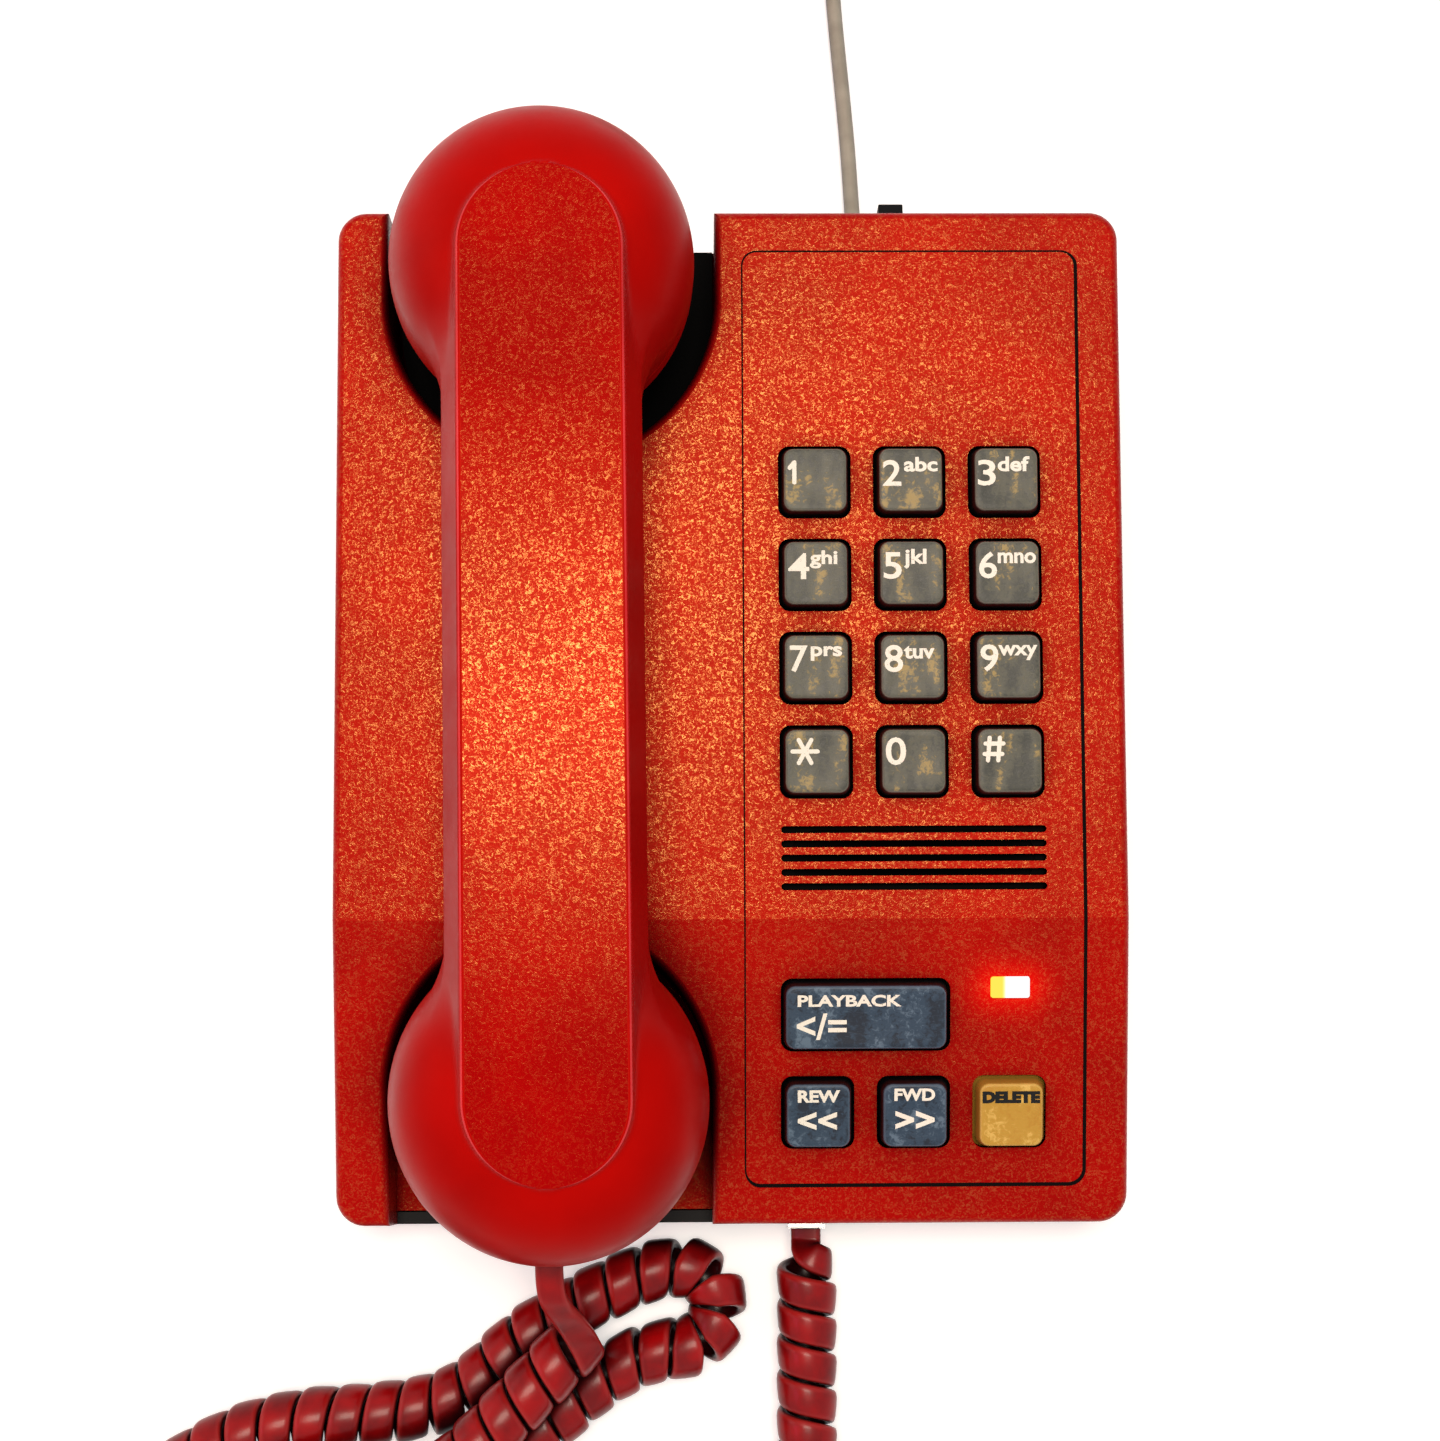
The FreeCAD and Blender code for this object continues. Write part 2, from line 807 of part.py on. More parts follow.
def make_chips():
    places = [
        (board_right - 46.0, board_back - 95.5, processor_size, processor_size),
        (board_right - 22.0, board_back - 93.5, memory_length, memory_width),
        (board_left + 42.0, board_back - 75.5, line_chip_length, line_chip_width),
        (board_right - 50.0, board_back - 55.5, clock_chip_length, clock_chip_width),
    ]
    return Part.makeCompound([on_board(x, y, length, breadth, chip_height) for x, y, length, breadth in places])


def make_capacitors():
    large = capacitor_radius, capacitor_height
    small = small_capacitor_radius, small_capacitor_height
    places = [
        (board_left + 18.0, board_back - 55.5, large),
        (board_left + 18.0, board_back - 41.5, large),
        (board_left + 32.0, board_back - 47.5, small),
        (board_right - 16.0, board_back - 69.5, small),
    ]
    return Part.makeCompound([drum(x, y, board_face, board_face + height, radius)
                              for x, y, (radius, height) in places])


def make_line_transformer():
    """The coupling transformer: a core with a wound bobbin through it."""
    x0 = board_right - 68.0
    x1 = x0 + transformer_length
    y1 = board_back - 23.5
    y0 = y1 - transformer_width
    core = block(x0, x1, y0, y1, board_face, board_face + transformer_height)
    x0 += transformer_leg
    x1 -= transformer_leg
    low = board_face + transformer_leg
    high = board_face + transformer_height - transformer_leg
    window = block(x0, x1, y0 - 1, y1 + 1, low, high)
    winding = rounded_block(x0, x1, y0 - winding_overhang, y1 + winding_overhang, low, high, 2.0)
    return joined([core.cut(window), winding])


def make_ribbon_cable():
    """A flat cable from the main board up to the underside of the number key board."""
    top = upper_point(0, ribbon_s, board_top - board_thickness)
    half = ribbon_thickness / 2
    x0 = key_middle_x - 12.0
    return block(x0, x0 + ribbon_width, top.y - half, top.y + half,
                 board_face, top.z - half * math.tan(upper_angle))


def make_rubber_feet():
    x = half_width - foot_inset
    feet = []
    for y in (front_y + 28.0, back_y - 30.0):
        feet.append(drum(x, y, 0, foot_height, foot_radius))
        feet.append(drum(-x, y, 0, foot_height, foot_radius))
    return Part.makeCompound(feet)


def make_case_screws():
    screws = []
    for x, y in boss_places():
        top = foot_height + screw_head_height
        head = drum(x, y, top - case_screw_head, top, screw_head_radius)
        shank = drum(x, y, top, seam_height + case_screw_reach, screw_radius)
        screws.append(head.fuse(shank).removeSplitter())
    return Part.makeCompound(screws)


def make_handset_socket():
    """The housing behind the front wall that takes the handset cord's plug."""
    x0, x1, z0, z1 = socket_span()
    inner_end = front_y + plug_length - plug_stand_out + joint_gap
    body = block(x0 - socket_wall, x1 + socket_wall, front_y + case_wall, inner_end + socket_wall,
                 foot_height + case_wall, z1 + 1.6)
    return body.cut(block(x0, x1, front_y, inner_end, z0, z1))


def modular_plug(width, height, length):
    """A clear modular plug, its face at y = 0, with a latch and a row of contacts' slots."""
    body = block(-width / 2, width / 2, 0, length, -height / 2, height / 2)
    slots = []
    for index in range(4):
        x = (index - 1.5) * width / 6
        slots.append(block(x - 0.3, x + 0.3, length - 5.5, length + 1, height / 2 - 1.2, height / 2 + 1))
    body = body.cut(slots)
    notch = block(-width / 2 - 1, width / 2 + 1, 1.4, length - 3.0, -height / 2 - 1, -height / 2 + 1.0)
    latch = block(-width / 5, width / 5, 0.6, length - 3.0, -height / 2, -height / 2 + 1.0)
    return joined([body.cut(notch), latch])


def make_handset_cord_plug():
    plug = modular_plug(plug_width, plug_height, plug_length)
    plug.translate(Vector(socket_x, front_y - plug_stand_out, socket_middle()))
    return plug


def grommet_neck(grow):
    """The waist of the line cord's grommet, where it passes the back wall."""
    return block(line_exit_x - 4.0 - grow, line_exit_x + 4.0 + grow, back_y - case_wall - 0.5, back_y + 0.5,
                 line_exit_z - 2.6 - grow, line_exit_z + 2.6 + grow)


def make_line_cord_grommet():
    """A flat strain relief in the back wall, tapered outside and flanged inside."""
    near = rounded_section(line_exit_x, back_y, line_exit_z, 9.0, 6.2)
    far = rounded_section(line_exit_x, back_y + grommet_length, line_exit_z, 5.2, 3.6)
    taper = Part.makeLoft([near, far], True, True)
    neck = block(line_exit_x - 4.0, line_exit_x + 4.0, back_y - case_wall, back_y,
                 line_exit_z - 2.6, line_exit_z + 2.6)
    flange = block(line_exit_x - 5.5, line_exit_x + 5.5, back_y - case_wall - 1.6, back_y - case_wall,
                   line_exit_z - 4.2, line_exit_z + 4.0)
    return joined([taper, neck, flange])


def rounded_section(x, y, z, width, height):
    """A rounded rectangle that stands upright across the cord."""
    wire = rounded_outline(-width / 2, width / 2, -height / 2, height / 2, height * 0.45)
    wire.rotate(Vector(0, 0, 0), Vector(1, 0, 0), 90)
    wire.translate(Vector(x, y, z))
    return wire


def make_ringer_switch():
    """The slide switch's body inside the back wall."""
    face = back_y - case_wall
    return block(ringer_x - 9.0, ringer_x + 9.0, face - 6.0, face - joint_gap, ringer_z - 6.0, ringer_z + 1.5)


def make_ringer_knob():
    face = back_y - case_wall - joint_gap
    knob = block(ringer_x - knob_length / 2, ringer_x + knob_length / 2, face + 0.1,
                 back_y + knob_stand_out, ringer_z - knob_height / 2, ringer_z + knob_height / 2)
    edges = [edge for edge in knob.Edges if edge.BoundBox.YMin > back_y + knob_stand_out - 0.01]
    return knob.makeFillet(0.5, edges)


# ---------------------------------------------------------------- the hook

def hook_top():
    """Height of the hook plunger's top with the handset in its cups."""
    return hook_point().z - fit_gap


def hook_point():
    """The place on the ear cap's flat that the plunger meets."""
    return upper_point(hook_x, hook_s, -cup_depth + equator_height)


def hook_hole():
    y = hook_point().y
    half = hook_width / 2 + joint_gap
    return block(hook_x - half, hook_x + half, y - half, y + half, hook_top() - 12.0, hook_top() + 4.0)


def make_hook_plunger():
    """The plunger that the ear end holds down, with a foot that stops it under the cup."""
    y = hook_point().y
    half = hook_width / 2
    drop = half * math.tan(upper_angle)
    stem = block(hook_x - half, hook_x + half, y - half, y + half, hook_top() - hook_reach, hook_top() - drop)
    edges = [edge for edge in stem.Edges if edge.BoundBox.ZMin > hook_top() - drop - 0.01]
    stem = stem.makeFillet(0.8, edges)
    floor = cradle_pad_thickness + case_wall
    foot_top = hook_top() - drop - floor - hook_travel - 1.5
    foot = block(hook_x - half - 2.5, hook_x + half + 2.5, y - half, y + half, foot_top - 2.0, foot_top)
    return joined([stem, foot])


def make_hook_switch():
    """The switch under the plunger, on a pillar from the main board."""
    y = hook_point().y
    top = hook_top() - hook_reach - joint_gap
    half = hook_width / 2 + 3.0
    body = block(hook_x - half, hook_x + half, y - 3.5, y + 3.5, top - 8.0, top)
    pillar = block(hook_x - half, hook_x + half, y - 1.5, y + 1.5, board_face, top - 8.0)
    return joined([body, pillar])


def make_ear_cradle_pad():
    """A black liner on the floor of the ear cup."""
    y = cup_y(ear_cup_s, upper_angle)
    clear = fit_gap
    radius = ear_cup_radius - clear
    outline = joined([drum(ear_cup_x, y, 0, back_z * 2, radius),
                      block(ear_cup_x - radius, ear_cup_x + radius, y, back_y, 0, back_z * 2)])
    outline = outline.common(block(-case_width, case_width, 0, back_y - clear, 0, back_z * 2))
    layer = block(-case_width, case_width, 0, case_width, -cup_floor_depth - cradle_pad_thickness,
                  -cup_floor_depth)
    return outline.common(on_upper(layer)).cut(hook_hole())


# ---------------------------------------------------------------- the handset

def dome_curve(wide, rise):
    """The rounded top of one end, from its widest level to its middle, fuller than an ellipse."""
    turns = [math.pi / 2 * step / dome_steps for step in range(dome_steps)]
    power = 2 / dome_power
    rows = [Vector(wide * math.cos(turn) ** power, 0, rise * math.sin(turn) ** power) for turn in turns]
    rows.append(Vector(0, 0, rise))
    curve = Part.BSplineCurve()
    curve.interpolate(Points=rows, InitialTangent=Vector(0, 0, 1), FinalTangent=Vector(-1, 0, 0))
    return curve.toShape()


def dome_reach(radius, height):
    """How far one end reaches from its middle at a height above its widest level."""
    rise = (height - equator_height) / band_height
    return radius * (1 - rise ** dome_power) ** (1 / dome_power)


def dome(x, s, radius, inset):
    """One end of the handset: rounded above its widest level, a tapering cup below with a flat end."""
    wide = radius - inset
    deep = cup_fullness - inset
    bottom = cup_depth - inset
    start = math.acos(bottom / deep)
    cup_curve = Part.Ellipse(Vector(0, 0, -deep), Vector(wide, 0, 0), Vector(0, 0, 0))
    cup_arc = Part.Arc(cup_curve, start, math.pi / 2).toShape()
    rise = band_height - inset
    end = Vector(wide * math.sin(start), 0, -bottom)
    lines = Part.makePolygon([Vector(0, 0, rise), Vector(0, 0, -bottom), end])
    outline = Part.Wire(Part.__sortEdges__([cup_arc, dome_curve(wide, rise)] + lines.Edges))
    solid = Part.Face(outline).revolve(Vector(0, 0, 0), Vector(0, 0, 1), 360)
    solid.translate(Vector(x, s, equator_height))
    return solid


def bar_section(s, inset, flare, drop):
    """The grip's outline at s. Flare widens its (shoulder, waist, bottom); drop deepens it."""
    bottom = grip_bottom + inset - drop
    shoulder = band_top - grip_shoulder
    slope = (grip_width - grip_top_width) / 2 / grip_shoulder
    half = grip_width / 2 - inset
    half_top = half - slope * (grip_shoulder + band_spare)
    waist = (shoulder + grip_bottom) / 2
    half_bottom = grip_bottom_width / 2 - inset / 2 + flare[2]
    low_side = half + flare[1] * 0.3 + flare[2] * 0.7 - (grip_width - grip_bottom_width) * 0.15
    low = waist - (waist - bottom) * 0.62
    right = [Vector(half_top, s, band_top + band_spare), Vector(half + flare[0], s, shoulder),
             Vector(half + flare[1], s, waist)]
    end_right = Vector(half_bottom, s, bottom)
    edges = Part.makePolygon(right).Edges
    edges.append(Part.Arc(right[-1], Vector(low_side, s, low), end_right).toShape())
    mirrored = [edge.mirror(Vector(0, 0, 0), Vector(1, 0, 0)) for edge in edges]
    edges.append(Part.makeLine(end_right, Vector(-half_bottom, s, bottom)))
    edges.append(Part.makeLine(Vector(-half_top, s, band_top + band_spare), right[0]))
    section = Part.Wire(Part.__sortEdges__(edges + mirrored))
    section.translate(Vector(grip_x, 0, 0))
    return section


def neck_flare(distance, radius, height):
    """How far the grip widens at a distance from an end's middle, to curve into that end."""
    half = grip_width / 2
    level = dome_reach(radius, height) - neck_sink
    start = math.sqrt((level + neck_radius) ** 2 - (half + neck_radius) ** 2)
    touch = start * level / (level + neck_radius)
    along = start - max(min(distance, start), touch)
    return neck_radius - math.sqrt(neck_radius ** 2 - along ** 2)


def neck_drop(distance, radius):
    """How far the grip's underside dips at a distance from an end's middle."""
    centre = grip_bottom - equator_height - throat_radius
    reach = radius - neck_sink + throat_radius
    start = math.sqrt(reach ** 2 - centre ** 2)
    touch = start * (radius - neck_sink) / reach
    along = start - max(min(distance, start), touch)
    return throat_radius - math.sqrt(throat_radius ** 2 - along ** 2)


def neck(s, radius, direction):
    """The flared stretch of grip beside one end, as a loft through evenly spaced outlines."""
    heights = (band_top - grip_shoulder, (band_top - grip_shoulder + grip_bottom) / 2, grip_bottom)
    sections = []
    for step in range(neck_steps + 1):
        distance = neck_start + (neck_length - neck_start) * step / neck_steps
        flare = [neck_flare(distance, radius, height) for height in heights]
        sections.append(bar_section(s + direction * distance, 0, flare, neck_drop(distance, radius)))
    return Part.makeLoft(sections, True, False)


def grip(inset, start, end):
    """The plain stretch of the grip."""
    section = Part.Face(bar_section(start, inset, (0, 0, 0), 0))
    return section.extrude(Vector(0, end - start, 0))


def band_cut(inset):
    """Everything above the flat band along the handset's back."""
    return block(-case_width, case_width, -2 * case_width, 2 * case_width, band_top - inset, 2 * case_width)


def band_end(s):
    """The round end of the flat band, which stands a little proud of the rounded end below it."""
    return drum(grip_x, s, equator_height, band_top + band_spare, grip_top_width / 2)


def hollow_form():
    """The room inside both shells."""
    ear = dome(ear_x, ear_s, ear_radius, handset_wall)
    mouth = dome(mouth_x, mouth_s, mouth_radius, handset_wall)
    return joined([grip(handset_wall, mouth_s, ear_s), ear, mouth]).cut(band_cut(handset_wall))


def outer_form():
    """The handset's outside."""
    ear = dome(ear_x, ear_s, ear_radius, 0)
    mouth = dome(mouth_x, mouth_s, mouth_radius, 0)
    near = neck(mouth_s, mouth_radius, 1)
    far = neck(ear_s, ear_radius, -1)
    bar = grip(0, mouth_s + neck_length, ear_s - neck_length)
    ends = [band_end(mouth_s + band_end_inset), band_end(ear_s - band_end_inset)]
    return joined([bar, near, far, ear, mouth] + ends).cut(band_cut(0))


def parting_region():
    """Everything above the line where the two shells meet."""
    low = equator_height
    high = equator_height + parting_rise
    near = mouth_s + mouth_radius - 4
    far = ear_s - ear_radius + 4
    outline = [
        (mouth_s - 2 * mouth_radius, low),
        (near, low),
        (near + 14, high),
        (far - 14, high),
        (far, low),
        (ear_s + 2 * ear_radius, low),
        (ear_s + 2 * ear_radius, band_top + 20),
        (mouth_s - 2 * mouth_radius, band_top + 20),
    ]
    return prism_across(outline, grip_x - case_width, grip_x + case_width)


def handset_screw_places():
    near = mouth_s + mouth_radius + 16
    far = ear_s - ear_radius - 16
    return [(grip_x, near), (grip_x, far)]


def make_handset_outer_shell():
    shell = outer_form().cut(hollow_form()).common(parting_region())
    bosses = []
    low = grip_bottom + handset_wall + joint_gap
    for x, s in handset_screw_places():
        bosses.append(drum(x, s, low, band_top - handset_wall / 2, 3.0))
    bores = [drum(x, s, low - 1, low + 8, 1.0) for x, s in handset_screw_places()]
    return on_upper(joined([shell] + bosses).cut(bores))


def cap_floor():
    return equator_height - cup_depth


def plug_sleeve(grow):
    """The room for the cord's plug in the mouth end, larger all round by grow."""
    middle = equator_height - plug_height / 2 - socket_wall - 2 * joint_gap
    half = plug_width / 2 + joint_gap + grow
    half_height = plug_height / 2 + joint_gap + grow
    end = mouth_s - mouth_radius
    return block(mouth_x - half, mouth_x + half, end - 1 - grow, end + plug_length + grow,
                 middle - half_height, middle + half_height)


def make_handset_inner_shell():
    form = outer_form()
    shell = form.cut(hollow_form()).cut(parting_region())
    floor = cap_floor()
    ledge_top = floor + cap_thickness + 1.6
    additions = []
    cuts = []
    for x, s in ((ear_x, ear_s), (mouth_x, mouth_s)):
        additions.append(drum(x, s, floor + cap_thickness, ledge_top, cap_radius + 3.5))
        cuts.append(drum(x, s, floor - 1, floor + cap_thickness, cap_radius + 0.15))
        cuts.append(drum(x, s, floor - 1, ledge_top + 1, cap_radius - 2.5))
    sleeve = plug_sleeve(socket_wall)
    additions.append(sleeve)
    shell = joined([shell] + [addition.common(form) for addition in additions])
    cuts.append(plug_sleeve(0))
    for x, s in handset_screw_places():
        cuts.append(drum(x, s, 0, grip_bottom + handset_wall + 1, 1.3))
        cuts.append(drum(x, s, 0, grip_bottom + handset_screw_head, 2.6))
    return on_upper(shell.cut(cuts))


def make_handset_screws():
    screws = []
    for x, s in handset_screw_places():
        shank_start = grip_bottom + handset_screw_head
        head = drum(x, s, grip_bottom, shank_start, 2.4)
        shank = drum(x, s, shank_start, grip_bottom + handset_wall + handset_screw_reach, 0.9)
        screws.append(on_upper(head.fuse(shank).removeSplitter()))
    return Part.makeCompound(screws)


def make_cap(x, s, rings):
    """A flat cap with rings of sound holes, given as (how many, ring radius)."""
    floor = cap_floor()
    cap = drum(x, s, floor, floor + cap_thickness, cap_radius)
    holes = [drum(x, s, floor - 1, floor + cap_thickness + 1, sound_hole / 2)]
    for count, radius in rings:
        for index in range(count):
            angle = 2 * math.pi * index / count
            holes.append(drum(x + radius * math.cos(angle), s + radius * math.sin(angle),
                              floor - 1, floor + cap_thickness + 1, sound_hole / 2))
    return on_upper(cap.cut(holes))


def make_ear_cap():
    return make_cap(ear_x, ear_s, [(6, 4.0), (12, 8.0)])


def make_mouth_cap():
    return make_cap(mouth_x, mouth_s, [(6, 3.0)])


def make_receiver_capsule():
    """The earpiece's speaker, seated on the ear cap inside the ledge."""
    low = cap_floor() + cap_thickness
    radius = cap_radius - 2.5 - fit_gap
    rim = low + receiver_height * 0.6
    drumlet = drum(ear_x, ear_s, low, rim, radius)
    back = drum(ear_x, ear_s, rim, low + receiver_height, radius * 0.55)
    return on_upper(joined([drumlet, back]))


def make_microphone_capsule():
    """The microphone in its rubber ring, seated on the mouth cap."""
    low = cap_floor() + cap_thickness
    ring = drum(mouth_x, mouth_s, low, low + microphone_height - 2.0, microphone_radius + 1.7)
    core = drum(mouth_x, mouth_s, low, low + microphone_height, microphone_radius)
    return on_upper(joined([ring, core]))


def make_handset_weight():
    """A steel bar on the floor of the grip that gives the handset its heft."""
    floor = grip_bottom + handset_wall
    half_length = weight_length / 2
    half_width_across = weight_width / 2
    middle = (handset_screw_places()[0][1] + handset_screw_places()[1][1]) / 2
    return on_upper(block(grip_x - half_width_across, grip_x + half_width_across,
                          middle - half_length, middle + half_length, floor, floor + weight_height))


def end_plug_point():
    """The middle of the plug's outer face at the mouth end, as (x, s, h)."""
    middle = equator_height - plug_height / 2 - socket_wall - 2 * joint_gap
    return mouth_x, mouth_s - mouth_radius - 0.8, middle


def make_handset_end_plug():
    plug = modular_plug(plug_width, plug_height, plug_length)
    x, s, h = end_plug_point()
    plug.translate(Vector(x, s, h))
    return on_upper(plug)


# ---------------------------------------------------------------- the cords

def points(rows):
    return [Vector(*row) for row in rows]


def coil_route():
    """The curly cord's middle line, from its plug in the base to its last turn."""
    rows = [
        (socket_x, front_y - plug_stand_out, socket_middle()),
        (15.6, -117.0, 6.8),
        (15.3, -132.0, 6.3),
        (15.1, -149.0, 6.3),
        (12.0, -168.0, 6.3),
        (-1.0, -186.0, 6.3),
        (-22.0, -198.0, 6.3),
        (-48.0, -203.5, 6.3),
        (-77.0, -203.0, 6.3),
        (-105.0, -194.5, 6.3),
        (-124.0, -176.5, 6.3),
        (-121.5, -156.0, 6.3),
        (-104.0, -144.2, 6.3),
        (-88.0, -140.2, 6.3),
        (-73.0, -139.6, 6.3),
        (-59.5, -137.6, 6.3),
        (-51.0, -132.6, 6.3),
        (-43.5, -125.0, 6.3),
        (-34.5, -119.8, 6.3),
        (-25.8, -115.4, 6.3),
        (-16.5, -111.5, 6.3),
        (-7.6, -110.9, 6.3),
        (-2.9, -115.6, 6.3),
        (-2.9, -122.2, 6.3),
        (-7.8, -126.8, 6.3),
        (-16.5, -127.6, 6.3),
        (-25.5, -131.6, 6.3),
        (-34.5, -138.6, 6.3),
        (-44.0, -147.8, 6.3),
        (-54.0, -159.5, 6.3),
        (-64.0, -171.0, 6.3),
        (-76.5, -179.3, 6.3),
        (-90.0, -180.0, 6.6),
        (-99.5, -171.0, 7.8),
        (-98.0, -159.6, 10.2),
        (-87.0, -154.6, 13.0),
        (-74.5, -155.2, 15.4),
        (-64.0, -153.4, 16.5),
        (-55.0, -148.0, 16.6),
        (-47.0, -140.4, 16.4),
        (-40.6, -134.0, 16.3),
        (-34.6, -128.0, 16.3),
    ]
    return points(rows)


def tail_route():
    """The flat tail from the last turn up to the plug in the mouth end."""
    end = upper_point(*end_plug_point())
    leaving = Vector(0, -math.cos(upper_angle), -math.sin(upper_angle)) * 5.0
    first = coil_route()[-1]
    rows = points([
        (-30.8, -124.9, 18.4),
        (-29.3, -122.9, 23.0),
        (-31.2, -120.6, 28.4),
        (-33.6, -117.2, 34.0),
    ])
    return [first] + rows + [end + leaving, end]


def line_route():
    """The flat line cord from its strain relief to the put-away coil."""
    rows = [
        (line_exit_x, back_y + grommet_length, line_exit_z),
        (31.2, back_y + grommet_length + 8.5, 8.0),
        (31.1, back_y + grommet_length + 17.5, 4.6),
        (30.9, back_y + grommet_length + 28.0, 2.1),
        (30.3, 151.0, 1.9),
        (29.1, 169.0, 1.9),
        (27.7, 189.0, 1.9),
        (ring_x + ring_middle_radius, ring_y - 18.6, 1.9),
    ]
    return points(rows)


def line_end_route():
    """The short end of the line cord, from the coil to its plug."""
    rows = [
        (ring_x - 18.6, ring_y + ring_middle_radius, 4.2),
        (-20.0, ring_y + ring_middle_radius + 0.6, 3.8),
        (-28.0, ring_y + ring_middle_radius - 0.4, line_plug_height / 2),
    ]
    return points(rows)


def make_line_cord():
    return Part.makeCompound([tube(line_route(), line_diameter), tube(line_end_route(), line_diameter)])


def make_line_cord_coil():
    """The outer shape of the wound cord: a ring with a rounded section."""
    inner = ring_middle_radius - ring_width / 2
    outer = ring_middle_radius + ring_width / 2
    section = rounded_outline(inner, outer, 0, ring_height, 4.5)
    section.rotate(Vector(0, 0, 0), Vector(1, 0, 0), 90)
    ring = Part.Face(section).revolve(Vector(0, 0, 0), Vector(0, 0, 1), 360)
    ring.translate(Vector(ring_x, ring_y, tie_wall))
    return ring


def make_line_cord_tie():
    """A band round the turns of the coil."""
    x = ring_x - ring_middle_radius
    half = ring_width / 2
    band = rounded_block(x - half - tie_wall, x + half + tie_wall, 0, ring_height + 2 * tie_wall,
                         0, tie_width, 4.5 + tie_wall)
    hole = rounded_block(x - half, x + half, tie_wall, ring_height + tie_wall, -1, tie_width + 1, 4.5)
    tie = band.cut(hole)
    tie.rotate(Vector(0, 0, 0), Vector(1, 0, 0), 90)
    tie.translate(Vector(0, ring_y + tie_width / 2, 0))
    return tie


def make_line_cord_plug():
    plug = modular_plug(line_plug_width, line_plug_height, line_plug_length)
    plug.rotate(Vector(0, 0, 0), Vector(0, 0, 1), 90)
    plug.translate(line_end_route()[-1])
    return plug


# ---------------------------------------------------------------- writing the parts

def parts():
    """Every sub-part, by its node's name."""
    number_span = number_board_span()
    function_span = function_board_span()
    made = {
        "lower_case": make_lower_case(),
        "upper_case": make_upper_case(),
        "face_panel": make_face_panel(),
        "led_lens": on_lower(make_led_lens()),
        "led": on_lower(make_led()),
        "number_key_mat": on_upper(make_mat(number_span, number_key_boxes().values())),
        "function_key_mat": on_lower(make_function_key_mat()),
        "number_key_board": on_upper(make_board(number_span)),
        "function_key_board": on_lower(make_board(function_span)),
        "main_board": make_main_board(),
        "ribbon_cable": make_ribbon_cable(),
        "speaker_frame": on_upper(make_speaker_frame()),
        "speaker_cone": on_upper(make_speaker_cone()),
        "speaker_magnet": on_upper(make_speaker_magnet()),
        "line_cord_grommet": make_line_cord_grommet(),
        "handset_socket": make_handset_socket(),
        "ringer_switch": make_ringer_switch(),
        "ringer_knob": make_ringer_knob(),
        "hook_switch": make_hook_switch(),
        "hook_plunger": make_hook_plunger(),
        "chips": make_chips(),
        "capacitors": make_capacitors(),
        "line_transformer": make_line_transformer(),
        "rubber_feet": make_rubber_feet(),
        "case_screws": make_case_screws(),
        "board_screws": make_board_screws(),
        "ear_cradle_pad": make_ear_cradle_pad(),
        "handset_outer_shell": make_handset_outer_shell(),
        "handset_inner_shell": make_handset_inner_shell(),
        "ear_cap": make_ear_cap(),
        "mouth_cap": make_mouth_cap(),
        "receiver_capsule": make_receiver_capsule(),
        "microphone_capsule": make_microphone_capsule(),
        "handset_weight": make_handset_weight(),
        "handset_screws": make_handset_screws(),
        "handset_end_plug": make_handset_end_plug(),
        "handset_cord_plug": make_handset_cord_plug(),
        "handset_cord_coil": tube(coil_route(), coil_diameter),
        "handset_cord_tail": tube(tail_route(), tail_diameter),
        "line_cord": make_line_cord(),
        "line_cord_coil": make_line_cord_coil(),
        "line_cord_tie": make_line_cord_tie(),
        "line_cord_plug": make_line_cord_plug(),
    }
    for name, box in number_key_boxes().items():
        made[name] = on_upper(make_key(box))
    for name, box in function_key_boxes().items():
        made[name] = on_lower(make_key(box))
    return made


def main():
    os.makedirs("parts", exist_ok=True)
    for name, shape in parts().items():
        box = shape.BoundBox
        print(f"{name}: {len(shape.Solids)} solids, valid {shape.isValid()}, "
              f"x {box.XMin:.1f}..{box.XMax:.1f}, y {box.YMin:.1f}..{box.YMax:.1f}, "
              f"z {box.ZMin:.1f}..{box.ZMax:.1f}")
        shape.exportStep(f"parts/{name}.step")


main()
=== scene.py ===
"""A desk telephone with a built-in answering machine: its finishes, its visual parts and its studio.

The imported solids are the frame. This script gives every solid its finish, and adds what is moulded,
printed, wound or flexible: the handset's two shells, the key caps with their lettering, the curly cord and
the line cord. All lengths below are millimetres unless a name or comment says otherwise, and MM turns
them into the metres of the frame. Drawings on the two sloping faces use (x, s, h): s runs up the slope from
the crease between the faces, and h stands square to the face.
"""

from __future__ import annotations

import logging
import math
from dataclasses import dataclass
from enum import Enum
from typing import Any, Mapping, Sequence

import bmesh
import bpy
import numpy as np
from mathutils import Matrix

